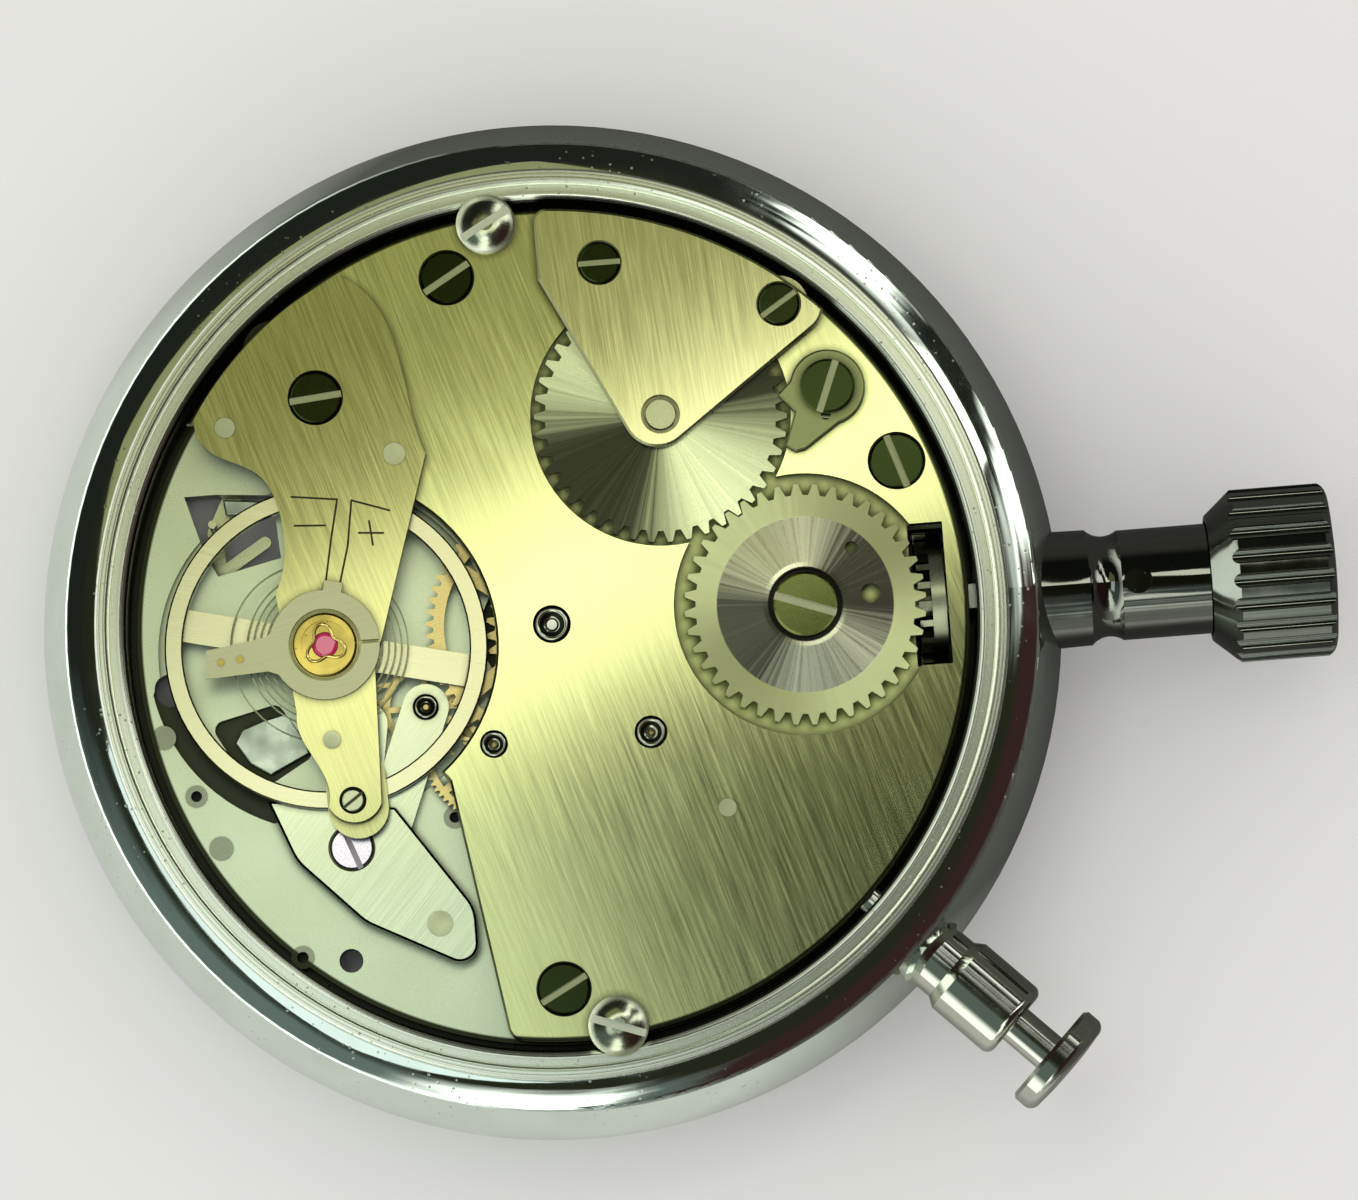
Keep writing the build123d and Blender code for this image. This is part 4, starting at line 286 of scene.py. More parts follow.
def circular_brushed(name, colour, centre, painted_dark_heading, collar_r=0.0, ground_r=9.0):
    """Metal ground in circles about a wheel's centre, with painted highlight and shade in its light and dark
    wedges.

    It has painted shade inside collar_r, and is matte outside ground_r.
    """
    roughness = 0.24
    contrast = 0.9
    matte = (0.9, 0.95, 0.5)
    made, tree, shader, where = start_material(name)
    arm = vector_maths(tree, "SUBTRACT", where, (centre.x, centre.y, 0)).outputs[0]
    x, y, _ = split(tree, arm)
    angle = maths(tree, "ARCTAN2", y, x)
    radius = radius_of(tree, arm)
    # Painted sheen: light and dark rays and two wide wedges, fixed on the wheel, stand in for the grain's
    # reflections.
    rays = noise_along(tree, maths(tree, "MULTIPLY", angle, 16.0), 4.0)
    rings = noise_along(tree, maths(tree, "DIVIDE", radius, 0.035 * MM), 2.0)
    painted_wedge_turn = -math.radians(2 * painted_dark_heading + 90)
    painted_wedges = maths(tree, "SINE", maths(tree, "MULTIPLY_ADD", angle, 2.0, painted_wedge_turn))
    shade = maths(tree, "MULTIPLY_ADD", rays, 0.7, maths(tree, "MULTIPLY_ADD", painted_wedges, 0.5, 0.12))
    dark = [c * (1 - contrast) for c in colour]
    tone = blend_colours(tree, spread(tree, shade, 0.2, 0.8, 0, 1), dark, colour)
    tone = blend_colours(tree, spread(tree, rings, 0.3, 0.7, 0, 0.25), tone, (0.75, 0.78, 0.6), "MULTIPLY")
    outside = spread(tree, radius, ground_r * MM, (ground_r + 0.06) * MM, 0, 1)
    tone = blend_colours(tree, outside, tone, matte)
    # Painted shade round the screw, inside collar_r.
    inside = spread(tree, radius, collar_r * MM, (collar_r + 0.05) * MM, 1, 0)
    tree.links.new(blend_colours(tree, inside, tone, (0.02, 0.02, 0.015)), shader.inputs["Base Color"])
    polish = spread(tree, rays, 0.3, 0.7, roughness, roughness + 0.1)
    tree.links.new(maths(tree, "MULTIPLY_ADD", outside, 0.25, polish), shader.inputs["Roughness"])
    round_the_centre = vector_maths(tree, "CROSS_PRODUCT", UP, arm).outputs[0]
    tree.links.new(round_the_centre, shader.inputs["Tangent"])
    tree.links.new(bump(tree, rings, 0.001 * MM), shader.inputs["Normal"])
    shader.inputs["Anisotropic"].default_value = 0.8
    shader.inputs["Metallic"].default_value = 1
    return made


def screw_metal(node, slot_depth, colour, slot_colour):
    """Hardened steel for a screw, with a polished head and a rougher slot, each in the colour it is given."""
    made, tree, shader, where = start_material(node + "_steel")
    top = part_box(node)[1].z
    height = split(tree, where)[2]
    in_slot = spread(tree, height, top - slot_depth * MM, top - 0.6 * slot_depth * MM, 1.0, 0.0)
    grain = noise(tree, where, 0.08 * MM, 3.0)
    tone = blend_colours(tree, spread(tree, grain, 0.3, 0.7, 0, 1), [c * 0.75 for c in colour], colour)
    tree.links.new(blend_colours(tree, in_slot, tone, slot_colour), shader.inputs["Base Color"])
    polish = spread(tree, grain, 0.3, 0.7, 0.12, 0.2)
    tree.links.new(maths(tree, "MULTIPLY_ADD", in_slot, 0.25, polish), shader.inputs["Roughness"])
    tree.links.new(bump(tree, grain, 0.0008 * MM), shader.inputs["Normal"])
    shader.inputs["Metallic"].default_value = 1
    return made


def jewel(name, colour):
    """Polished synthetic ruby."""
    made, tree, shader, where = start_material(name)
    cloud = noise(tree, where, 0.4 * MM, 2.0)
    tone = blend_colours(tree, cloud, colour, [min(1, c * 1.4) for c in colour])
    tree.links.new(tone, shader.inputs["Base Color"])
    tree.links.new(spread(tree, cloud, 0.3, 0.7, 0.03, 0.08), shader.inputs["Roughness"])
    shader.inputs["IOR"].default_value = 1.77
    shader.inputs["Transmission Weight"].default_value = 0.35
    shader.inputs["Coat Weight"].default_value = 0.6
    return made


def glass(name):
    """Clear acrylic with fine scratches from wear."""
    made, tree, shader, where = start_material(name)
    scratches = noise(tree, along_grain(tree, where, 40, 0.06 * MM, 6 * MM), 1.0, 2.0)
    tree.links.new(spread(tree, scratches, 0.45, 0.8, 0.02, 0.2), shader.inputs["Roughness"])
    tone = blend_colours(tree, scratches, (0.97, 0.98, 0.97), (0.93, 0.94, 0.92))
    tree.links.new(tone, shader.inputs["Base Color"])
    tree.links.new(bump(tree, scratches, 0.0004 * MM), shader.inputs["Normal"])
    shader.inputs["Transmission Weight"].default_value = 1
    shader.inputs["IOR"].default_value = 1.49
    return made


def enamel(name, colour, roughness=0.3):
    """Painted or printed surface with a faint orange peel."""
    made, tree, shader, where = start_material(name)
    peel = noise(tree, where, 0.3 * MM, 3.0)
    cloud = noise(tree, where, 7 * MM, 2.0)
    tone = blend_colours(tree, spread(tree, cloud, 0.35, 0.7, 0, 1), colour, [c * 0.92 for c in colour])
    tree.links.new(tone, shader.inputs["Base Color"])
    tree.links.new(spread(tree, peel, 0.3, 0.7, roughness, roughness + 0.1), shader.inputs["Roughness"])
    tree.links.new(bump(tree, peel, 0.002 * MM), shader.inputs["Normal"])
    return made


def case_chrome(name, bore_r=0.0):
    """Mirror chrome outside, a turned satin finish on the ledge and neck inside, and painted shade in the
    bore.
    """
    made, tree, shader, where = start_material(name)
    radius = radius_of(tree, where)
    # Painted shade in the bore, inside bore_r.
    bore = spread(tree, radius, bore_r * MM, (bore_r + 0.08) * MM, 1.0, 0.0)
    inside = spread(tree, radius, NECK_R * MM, (NECK_R + 0.06) * MM, 1.0, 0.0)
    turning = noise_along(tree, maths(tree, "DIVIDE", radius, 0.09 * MM), 2.0)
    smudge = noise(tree, where, 3 * MM, 3.0)
    patches = spread(tree, noise(tree, where, 5 * MM, 2.0), 0.45, 0.65, 0.0, 1.0)
    pitted = spread(tree, pits(tree, where, 0.45 * MM), 0.1, 0.18, 1.0, 0.0)
    worn = maths(tree, "MULTIPLY", pitted, patches)
    tone = blend_colours(tree, spread(tree, smudge, 0.3, 0.7, 0, 1), (0.82, 0.90, 0.82), (0.74, 0.82, 0.73))
    turned = blend_colours(
        tree, spread(tree, turning, 0.38, 0.6, 0, 1), (0.46, 0.50, 0.33), (0.96, 1.0, 0.88)
    )
    tone = blend_colours(tree, inside, tone, turned)
    tone = blend_colours(tree, worn, tone, (0.5, 0.52, 0.42))
    tree.links.new(blend_colours(tree, bore, tone, (0.02, 0.022, 0.015)), shader.inputs["Base Color"])
    mirror = spread(tree, smudge, 0.4, 0.75, 0.03, 0.09)
    satin = maths(tree, "MULTIPLY_ADD", turning, 0.12, 0.2)
    rough = add_node(tree, "ShaderNodeMix", {0: inside, 2: mirror, 3: satin}, data_type="FLOAT").outputs[0]
    tree.links.new(maths(tree, "MULTIPLY_ADD", worn, 0.35, rough), shader.inputs["Roughness"])
    relief = maths(tree, "MULTIPLY", turning, inside)
    relief = maths(tree, "SUBTRACT", relief, worn)
    tree.links.new(bump(tree, relief, 0.0012 * MM), shader.inputs["Normal"])
    shader.inputs["Metallic"].default_value = 1
    return made


def dress(material, *nodes):
    """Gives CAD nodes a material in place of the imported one."""
    for node in nodes:
        slots = frame["nodes"][node].data.materials
        slots.clear()
        slots.append(material)


NICKEL = (0.76, 0.80, 0.37)
# The cock's nickel is a darker copy of the bridge's: painted shade.
SHADED_COCK_NICKEL = (0.60, 0.61, 0.27)
STEEL = (0.66, 0.70, 0.42)
GRAIN_HEADING = 107

dress(case_chrome("case_chrome", bore_r=BORE_R), "case_middle")
dress(case_chrome("bezel_chrome"), "bezel")
# The pendant's and knob's chrome is painted dark, a shaded copy of the pusher's, for the dark room it
# mirrors.
dress(polished_metal("pendant_chrome", (0.24, 0.25, 0.22), 0.05), "pendant_tube")
dress(polished_metal("knob_chrome", (0.28, 0.30, 0.26), 0.07), "crown_knob")
dress(polished_metal("pusher_chrome", (0.62, 0.63, 0.54), 0.06), "pusher_tube", "pusher_button")
dress(glass("crystal_glass"), "crystal")
dress(enamel("dial_white", (0.86, 0.85, 0.80)), "dial")
dress(enamel("hand_steel", (0.03, 0.035, 0.05), 0.2), "sweep_hand", "minute_hand")

dress(brushed_metal("bridge_nickel", NICKEL, GRAIN_HEADING, sunk_z=BRIDGE_SINK_Z), "train_bridge")
dress(brushed_metal("barrel_plate_nickel", (0.80, 0.81, 0.42), 95, rim_r=PLATE_RIM_R + 1), "barrel_plate")
# The engraved scale on the cock, below COCK_ENGRAVING_Z, is painted dark as shade.
cock_nickel = brushed_metal(
    "cock_nickel", SHADED_COCK_NICKEL, GRAIN_HEADING,
    contrast=0.2, sunk_z=COCK_ENGRAVING_Z, sunk_tone=(0.10, 0.11, 0.05),
)
dress(cock_nickel, "balance_cock")
dress(brushed_metal("tail_nickel", SHADED_COCK_NICKEL, GRAIN_HEADING, contrast=0.2), "cock_tail_plate")
dress(brushed_metal("pallet_bridge_nickel", (0.68, 0.74, 0.50), 48), "pallet_bridge")
dress(frosted_metal("main_plate_nickel", (0.78, 0.87, 0.60)), "main_plate")

dress(circular_brushed("ratchet_sunburst_painted_sheen", (0.80, 0.87, 0.52), RATCHET, 40), "ratchet_wheel")
crown_wheel_sunburst_painted_sheen = circular_brushed(
    "crown_wheel_sunburst_painted_sheen", (1.0, 1.0, 0.72), CROWN_WHEEL, 22,
    collar_r=SCREW_COLLAR_R, ground_r=TOOTH_ROOT_R,
)
dress(crown_wheel_sunburst_painted_sheen, "crown_wheel")
dress(brushed_metal("click_steel", (0.55, 0.61, 0.27), 60, 0.42, 0.08), "click")
dress(brushed_metal("steel_part", STEEL, 60, 0.25, 0.1), "barrel_arbor", "balance_staff")
dress(brushed_metal("plate_steel", STEEL, 20, 0.25, 0.1), "reset_hammer", "start_stop_lever", "pallet_fork")
dress(polished_metal("pin_steel", (0.62, 0.66, 0.40), 0.25, wear=0.0), "steady_pins", "hairspring_stud")
dress(frosted_metal("bush_steel", (0.36, 0.39, 0.27)), "plate_bushes")
dress(polished_metal("stem_steel", (0.6, 0.63, 0.56), 0.16), "winding_stem", "sweep_runner")
dress(frosted_metal("pinion_steel", (0.55, 0.59, 0.40)), "winding_pinion")
dress(
    brushed_metal("wheel_brass", (0.88, 0.72, 0.30), 15, 0.25, 0.08),
    "barrel_drum", "barrel_cover", "centre_wheel", "third_wheel", "fourth_wheel", "seconds_driving_wheel",
    "escape_wheel", "minute_intermediate_wheel", "minute_wheel",
)
dress(brushed_metal("balance_gilt", (0.86, 0.84, 0.52), 166, 0.24, 0.08), "balance_wheel")
dress(polished_metal("setting_gold", (0.56, 0.45, 0.11), 0.16), "shock_setting", "curb_pins")
dress(brushed_metal("regulator_steel", (0.62, 0.62, 0.38), 10, 0.3, 0.08), "regulator")
dress(jewel("ruby", (0.62, 0.02, 0.12)), "cap_jewel", "pallet_stones")
SPRING_STEEL = polished_metal("spring_steel", (0.26, 0.29, 0.17), 0.2)
dress(SPRING_STEEL, "hairspring", "click_spring", "mainspring")

# Screw heads painted dark, a painted reflection of the dark room above that polished heads mirror.
PAINTED_DARK_HEAD = (0.035, 0.05, 0.014)
SCREW_SLOT_STEEL = (0.5, 0.53, 0.3)
# The crown wheel screw's lighter head is a painted highlight, and the tail screw's dark slot is painted
# shade.
for screw, slot_depth, head, slot in (
    ("bridge_screws", 0.25, PAINTED_DARK_HEAD, SCREW_SLOT_STEEL),
    ("barrel_plate_screws", 0.2, PAINTED_DARK_HEAD, SCREW_SLOT_STEEL),
    ("cock_screw", 0.25, PAINTED_DARK_HEAD, SCREW_SLOT_STEEL),
    ("click_screw", 0.18, PAINTED_DARK_HEAD, SCREW_SLOT_STEEL),
    ("crown_wheel_screw", 0.2, (0.17, 0.20, 0.06), (0.6, 0.62, 0.4)),
    ("case_screws", 0.3, (0.55, 0.59, 0.42), (0.85, 0.88, 0.7)),
    ("tail_screw", 0.15, (0.5, 0.54, 0.34), (0.1, 0.1, 0.06)),
    ("pallet_bridge_screw", 0.25, (0.92, 0.84, 0.9), (0.5, 0.45, 0.48)),
):
    dress(screw_metal(screw, slot_depth, head, slot), screw)

# Pieces --------------------------------------------------------------------------------------


def add_piece(name, shape, body, slot, *materials):
    """A mesh made in the frame's own place, riding on a body."""
    mesh = bpy.data.meshes.new(name)
    bmesh.ops.recalc_face_normals(shape, faces=shape.faces)
    shape.to_mesh(mesh)
    shape.free()
    made = bpy.data.objects.new(name, mesh)
    bpy.context.scene.collection.objects.link(made)
    for material in materials:
        mesh.materials.append(material)
    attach(made, body)
    return made


def turn_profile(shape, centre, profile, dark_bands):
    """Adds a solid of revolution whose closed profile is (radius, height) in millimetres.

    The bands that start at the dark_bands' points take the piece's second material.
    """
    steps = 48
    rings = []
    for step in range(steps):
        angle = 2 * math.pi * step / steps
        across = Vector((math.cos(angle), math.sin(angle), 0))
        rings.append([
            shape.verts.new(Vector((centre.x, centre.y, 0)) + across * r * MM + UP * z * MM)
            for r, z in profile
        ])
    for step in range(steps):
        here, there = rings[step], rings[(step + 1) % steps]
        for i in range(len(profile)):
            after = (i + 1) % len(profile)
            face = shape.faces.new((here[i], there[i], there[after], here[after]))
            face.smooth = True
            face.material_index = 1 if i in dark_bands else 0


def add_prism(shape, outline, low, high):
    """Adds a plate with a straight-sided outline, all in millimetres."""
    bottom = [shape.verts.new(place(x, y, low)) for x, y in outline]
    top = [shape.verts.new(place(x, y, high)) for x, y in outline]
    shape.faces.new(bottom)
    shape.faces.new(top)
    for i in range(len(outline)):
        after = (i + 1) % len(outline)
        shape.faces.new((bottom[i], bottom[after], top[after], top[i]))


def round_edges(made, width):
    """Breaks a piece's sharp edges."""
    rounding = made.modifiers.new("round_edges", "BEVEL")
    rounding.width = width * MM
    rounding.segments = 2
    rounding.limit_method = "ANGLE"
    rounding.angle_limit = math.radians(30)


BEARING_STEEL = polished_metal("bearing_steel", (0.55, 0.58, 0.44), 0.12, wear=0.0)
BLOCK_STEEL = polished_metal("block_steel", (0.66, 0.75, 0.60), 0.25, wear=0.0)
# Painted shade for the bearings' grooves and oil sink walls.
PAINTED_SHADE_STEEL = polished_metal("groove_black", (0.03, 0.035, 0.02), 0.35, wear=0.0)


def bearings():
    """The turned bearings of the train: a groove and an oil sink's walls in painted shade, and a bright lip,
    in each.
    """
    pivot_hole_r = 0.17
    centre_hole_r = 0.3
    shape = bmesh.new()
    bridge_top = BRIDGE_BACK / MM
    pallet_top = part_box("pallet_bridge")[1].z / MM
    for joint, outer_r, top, hole_r in (
        ("centre_turn", 0.95, bridge_top, centre_hole_r),
        ("third_turn", 0.82, bridge_top, pivot_hole_r),
        ("fourth_turn", 0.70, bridge_top, pivot_hole_r),
        ("escape_turn", 0.65, pallet_top, pivot_hole_r),
        ("pallet_swing", 0.55, pallet_top, pivot_hole_r),
    ):
        foot = top - 0.42
        profile = (
            (outer_r, foot),
            (outer_r, top - 0.16),
            (0.87 * outer_r, top - 0.16),
            (0.85 * outer_r, top - 0.03),
            (0.82 * outer_r, top - 0.01),
            (0.71 * outer_r, top - 0.01),
            (0.66 * outer_r, top - 0.06),
            (0.55 * outer_r, top - 0.2),
            (0.42 * outer_r, top - 0.28),
            (hole_r, top - 0.31),
            (hole_r, foot),
        )
        turn_profile(shape, pivot(joint), profile, dark_bands=(1, 2, 6, 7))
    made = add_piece("train_bearings", shape, "case", "ruby", BEARING_STEEL, PAINTED_SHADE_STEEL)
    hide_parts("train_jewels")


def lyre_spring():
    """The three-lobed spring that holds the cap jewel in its setting."""
    mean_r = 0.82
    lobe = 0.26
    first_lobe = 1.2
    curve = bpy.data.curves.new("lyre_spring", "CURVE")
    curve.dimensions = "3D"
    curve.bevel_depth = 0.075 * MM
    curve.bevel_resolution = 2
    curve.resolution_u = 6
    spline = curve.splines.new("NURBS")
    steps = 30
    spline.points.add(steps - 1)
    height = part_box("cap_jewel")[1].z + 0.02 * MM
    for step in range(steps):
        angle = 2 * math.pi * step / steps
        reach = (mean_r + lobe * math.cos(3 * angle + first_lobe)) * MM
        spline.points[step].co = (
            BALANCE.x + reach * math.cos(angle), BALANCE.y + reach * math.sin(angle), height, 1
        )
    spline.use_cyclic_u = True
    curve.materials.append(polished_metal("lyre_gold", (0.9, 0.74, 0.25), 0.1, wear=0.0))
    made = bpy.data.objects.new("lyre_spring", curve)
    bpy.context.scene.collection.objects.link(made)
    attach(made, "case")


def polished_blocks():
    """Polished steel blocks in the main plate's windows under the balance."""
    foot = 7.05
    top = 7.65
    blocks = (
        ("window_block", ((-16.0, 7.85), (-13.8, 7.6), (-13.75, 7.0), (-15.2, 7.05), (-15.9, 7.05))),
        ("kidney_block", (
            (-16.3, -4.4), (-15.9, -3.75), (-14.9, -3.4), (-13.6, -3.1),
            (-12.75, -4.6), (-12.6, -5.2), (-14.6, -6.15), (-15.6, -5.5),
        )),
    )
    for name, outline in blocks:
        shape = bmesh.new()
        add_prism(shape, outline, foot, top)
        round_edges(add_piece(name, shape, "case", "steel_part", BLOCK_STEEL), 0.08)


def coil_spring(name, node, heading, start, length, radius, wire_r, turns):
    """A coil spring, in millimetres.

    It points away from the watch's axis along the heading, in degrees, and stands on its inner end.
    """
    along = Vector((math.cos(math.radians(heading)), math.sin(math.radians(heading)), 0))
    across = UP.cross(along)
    low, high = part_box(node)
    foot = along * start * MM + UP * (low.z + high.z) / 2
    shape = bmesh.new()
    steps_a_turn = 24
    steps = turns * steps_a_turn
    sides = 8
    rings = []
    for step in range(steps + 1):
        angle = 2 * math.pi * step / steps_a_turn
        out = across * math.cos(angle) + UP * math.sin(angle)
        centre = foot + along * (length * step / steps) * MM + out * radius * MM
        ring = []
        for side in range(sides):
            turn = 2 * math.pi * side / sides
            reach = out * math.cos(turn) + along * math.sin(turn)
            ring.append(shape.verts.new(centre + reach * wire_r * MM))
        rings.append(ring)
    for here, there in zip(rings, rings[1:]):
        for side in range(sides):
            after = (side + 1) % sides
            shape.faces.new((here[side], here[after], there[after], there[side])).smooth = True
    shape.faces.new(rings[0])
    shape.faces.new(rings[-1])
    made = add_piece(name, shape, "case", "spring_steel", SPRING_STEEL)
    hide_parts(node)
    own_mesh(made)


# Dial, on the side that faces down
DIAL_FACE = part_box("dial")[0].z / MM
DIAL_INK_DEPTH = 0.03
SECONDS_TICK_END = 20.3
SECONDS_NUMERAL_R = 17.0
COUNTER_TICK_END = 4.9
COUNTER_NUMERAL_R = 3.1


def add_tick(shape, centre, angle, inner, outer, width):
    """Adds a radial mark that stands just proud of the dial's face."""
    along = Vector((math.cos(angle), math.sin(angle), 0))
    across = Vector((-along.y, along.x, 0)) * width / 2
    low, high = DIAL_FACE - DIAL_INK_DEPTH, DIAL_FACE
    corners = (along * inner - across, along * outer - across, along * outer + across, along * inner + across)
    outline = [(centre.x / MM + c.x, centre.y / MM + c.y) for c in corners]
    add_prism(shape, outline, low, high)


def add_numeral(shape, text, x, y, height):
    """Adds a number that reads from under the dial, with the crown at its top."""
    letters = bpy.data.curves.new("numeral", "FONT")
    letters.body = text
    letters.size = height * MM
    letters.align_x = "CENTER"
    letters.align_y = "CENTER"
    letters.extrude = DIAL_INK_DEPTH * MM / 2
    holder = bpy.data.objects.new("numeral", letters)
    mesh = bpy.data.meshes.new_from_object(holder)
    turned = Matrix(((0, 1, 0), (1, 0, 0), (0, 0, -1))).to_4x4()
    mesh.transform(Matrix.Translation(place(x, y, DIAL_FACE - DIAL_INK_DEPTH / 2)) @ turned)
    shape.from_mesh(mesh)
    bpy.data.objects.remove(holder)
    bpy.data.curves.remove(letters)
    bpy.data.meshes.remove(mesh)


def dial_markings():
    """A scale of fifths of a second, a thirty-minute counter and their plain numerals."""
    shape = bmesh.new()
    middle = Vector((0, 0, 0))
    fifths = 300
    for tick in range(fifths):
        angle = 2 * math.pi * tick / fifths
        on_five_seconds = tick % 25 == 0
        on_second = tick % 5 == 0
        inner = 18.9 if on_five_seconds else 19.3 if on_second else 19.7
        width = 0.26 if on_five_seconds else 0.12
        add_tick(shape, middle, angle, inner, SECONDS_TICK_END, width)
    for number in range(5, 65, 5):
        angle = 2 * math.pi * number / 60
        across = SECONDS_NUMERAL_R * math.cos(angle)
        add_numeral(shape, str(number), across, SECONDS_NUMERAL_R * math.sin(angle), 3.2)
    counter = pivot("minute_turn")
    for minute in range(30):
        angle = 2 * math.pi * minute / 30
        inner = 4.0 if minute % 5 == 0 else 4.4
        add_tick(shape, counter, angle, inner, COUNTER_TICK_END, 0.14)
    for number in range(5, 35, 5):
        angle = 2 * math.pi * number / 30
        across = counter.x / MM + COUNTER_NUMERAL_R * math.cos(angle)
        add_numeral(shape, str(number), across, COUNTER_NUMERAL_R * math.sin(angle), 1.3)
    add_piece("dial_markings", shape, "case", "hand_steel", enamel("dial_ink", (0.02, 0.02, 0.025), 0.35))


bearings()
lyre_spring()
polished_blocks()
coil_spring(
    "crown_coil", "crown_spring",
    heading=0, start=25.65, length=8.6, radius=1.4, wire_r=0.2, turns=7,
)
coil_spring(
    "pusher_coil", "pusher_spring",
    heading=-45, start=26.35, length=2.8, radius=1.28, wire_r=0.13, turns=5,
)
dial_markings()

# Floor, light and camera -----------------------------------------------------------------------

PICTURE_WIDTH = 67.56 * MM
CAMERA_DISTANCE = 0.5
CAMERA_TILT = math.radians(5)
CAMERA_ROLL = math.radians(4.5)
AIM = place(6.4, 0.7) + UP * BRIDGE_BACK
SENSOR = 36
PAPER_SIZE = 3
LIGHT_HEIGHT = 130
ROOM = (0.74, 0.73, 0.72)
FILL = (0.9, 0.895, 0.885)
ZENITH = (0.02, 0.022, 0.012)


def floor():
    """A plain pale floor under the crystal, painted dark in reflections only, so that it mirrors dark on the
    watch's upper right side.
    """
    shaded_heading = math.radians(35)
    edge = 12 * MM
    mesh = bpy.data.meshes.new("studio_floor")
    shape = bmesh.new()
    bmesh.ops.create_circle(shape, cap_ends=True, segments=96, radius=PAPER_SIZE)
    shape.to_mesh(mesh)
    shape.free()
    made = bpy.data.objects.new("studio_floor", mesh)
    made.location.z = -0.02 * MM
    bpy.context.scene.collection.objects.link(made)
    paper, tree, shader, where = start_material("studio_paper")
    pale = blend_colours(tree, noise(tree, where, 60 * MM), (0.80, 0.79, 0.78), (0.82, 0.81, 0.80))
    mirrored = add_node(tree, "ShaderNodeLightPath").outputs["Is Glossy Ray"]
    heading = (math.cos(shaded_heading), math.sin(shaded_heading), 0)
    side = vector_maths(tree, "DOT_PRODUCT", where, heading).outputs["Value"]
    shaded = maths(tree, "MULTIPLY", mirrored, spread(tree, side, -edge, edge, 0.2, 0.95))
    tree.links.new(blend_colours(tree, shaded, pale, (0.05, 0.05, 0.045)), shader.inputs["Base Color"])
    shader.inputs["Roughness"].default_value = 0.9
    mesh.materials.append(paper)


def softbox(name, position, length, width, heading, power, colour):
    """A soft rectangle of light above the movement, in millimetres, pointing straight down."""
    lamp = bpy.data.lights.new(name, "AREA")
    lamp.shape = "RECTANGLE"
    lamp.size = length * MM
    lamp.size_y = width * MM
    lamp.energy = power
    lamp.color = colour
    made = bpy.data.objects.new(name, lamp)
    made.location = place(*position, LIGHT_HEIGHT)
    made.rotation_euler.z = math.radians(heading)
    made.visible_camera = False
    bpy.context.scene.collection.objects.link(made)


# Colour round the room, by the angle from the crown's side
DARK = (0.015, 0.017, 0.014)
PALE = (2.0, 2.05, 1.95)
WARM_GREY = (0.04, 0.018, 0.018)
COOL_GREY = (0.14, 0.18, 0.17)
PANELS = (
    (0, WARM_GREY), (12, WARM_GREY), (17, PALE), (28, PALE), (32, DARK), (46, DARK), (50, PALE),
    (60, PALE), (64, DARK), (170, DARK), (200, COOL_GREY), (240, COOL_GREY), (252, PALE), (270, PALE),
    (276, COOL_GREY), (290, WARM_GREY), (345, WARM_GREY), (360, WARM_GREY),
)
LOW_RING = (
    (0, (0.12, 0.11, 0.10)), (60, (0.1, 0.1, 0.09)), (100, (0.1, 0.1, 0.09)), (130, (1.6, 1.65, 1.55)),
    (200, (1.8, 1.9, 1.8)), (245, (1.6, 1.7, 1.65)), (262, (0.5, 0.52, 0.5)), (300, (0.1, 0.1, 0.09)),
    (345, (0.08, 0.07, 0.07)), (360, (0.12, 0.11, 0.10)),
)


def colour_ramp(tree, value, stops):
    """A colour that follows a share of a full turn, through stops given in degrees."""
    made = add_node(tree, "ShaderNodeValToRGB", {0: value})
    elements = made.color_ramp.elements
    elements.remove(elements[-1])
    for degrees, colour in stops:
        stop = elements[0] if degrees == 0 else elements.new(degrees / 360)
        stop.position = degrees / 360
        stop.color = (*colour, 1)
    return made.outputs[0]


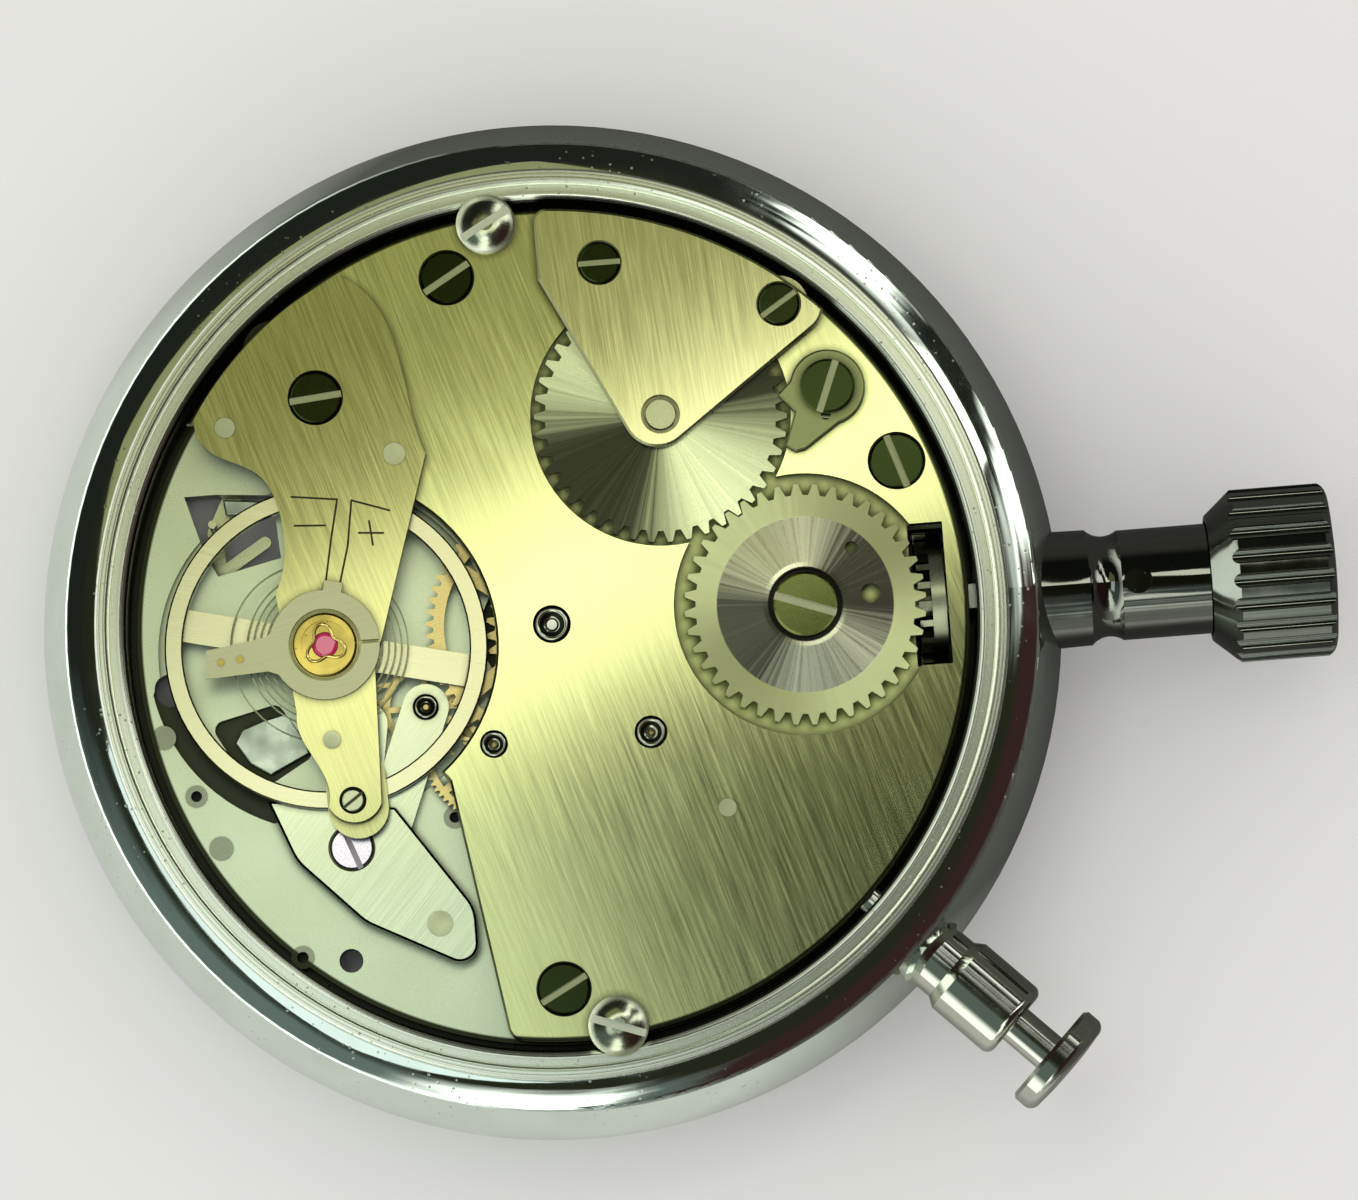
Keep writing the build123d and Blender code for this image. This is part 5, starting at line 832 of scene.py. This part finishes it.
def studio():
    """The room round the watch: dark above, with bright and dark panels round it, and pale low down."""
    world = bpy.data.worlds.new("studio")
    bpy.context.scene.world = world
    world.use_nodes = True
    tree = world.node_tree
    background = tree.nodes["Background"]
    where = tree.nodes.new("ShaderNodeTexCoord").outputs["Generated"]
    x, y, z = split(tree, where)
    angle = maths(tree, "ARCTAN2", y, x)
    ragged = maths(tree, "MULTIPLY_ADD", noise(tree, where, 0.12, 3.0), 0.08, -0.04)
    turn = maths(tree, "FRACT", maths(tree, "MULTIPLY_ADD", angle, 1 / (2 * math.pi), ragged))
    height = maths(tree, "ADD", z, ragged)
    low_ring = colour_ramp(tree, turn, LOW_RING)
    panels = colour_ramp(tree, turn, PANELS)
    room = blend_colours(tree, spread(tree, height, 0.35, 0.6, 0, 1), low_ring, panels)
    room = blend_colours(tree, spread(tree, height, 0.93, 0.98, 0, 1), room, ZENITH)
    rays = add_node(tree, "ShaderNodeLightPath")
    room = blend_colours(tree, rays.outputs["Is Diffuse Ray"], room, FILL)
    room = blend_colours(tree, rays.outputs["Is Camera Ray"], room, ROOM)
    tree.links.new(room, background.inputs["Color"])
    background.inputs["Strength"].default_value = 1.0


def camera():
    """A long lens above the movement, leaning a little towards the pusher's side."""
    lens = bpy.data.cameras.new("camera")
    lens.sensor_width = SENSOR
    lens.lens = SENSOR * CAMERA_DISTANCE / PICTURE_WIDTH
    lens.clip_start = 0.01
    made = bpy.data.objects.new("camera", lens)
    down = Vector((-math.sin(CAMERA_ROLL), -math.cos(CAMERA_ROLL), 0))
    away = down * math.sin(CAMERA_TILT) + UP * math.cos(CAMERA_TILT)
    right = Vector((math.cos(CAMERA_ROLL), -math.sin(CAMERA_ROLL), 0))
    turned = Matrix((right, away.cross(right), away)).transposed()
    made.matrix_world = Matrix.Translation(AIM + away * CAMERA_DISTANCE) @ turned.to_4x4()
    bpy.context.scene.collection.objects.link(made)
    bpy.context.scene.camera = made


floor()
studio()
softbox("key_light", (12, 17.5), 80, 14, 22, 0.0070, (1.0, 1.0, 0.87))
softbox("upper_light", (-16, 34), 60, 40, 28, 0.0021, (1.0, 1.0, 0.5))
softbox("lower_light", (-20, -14), 40, 46, 20, 0.0062, (0.88, 0.99, 1.0))
camera()
bpy.context.scene.view_settings.view_transform = "Standard"
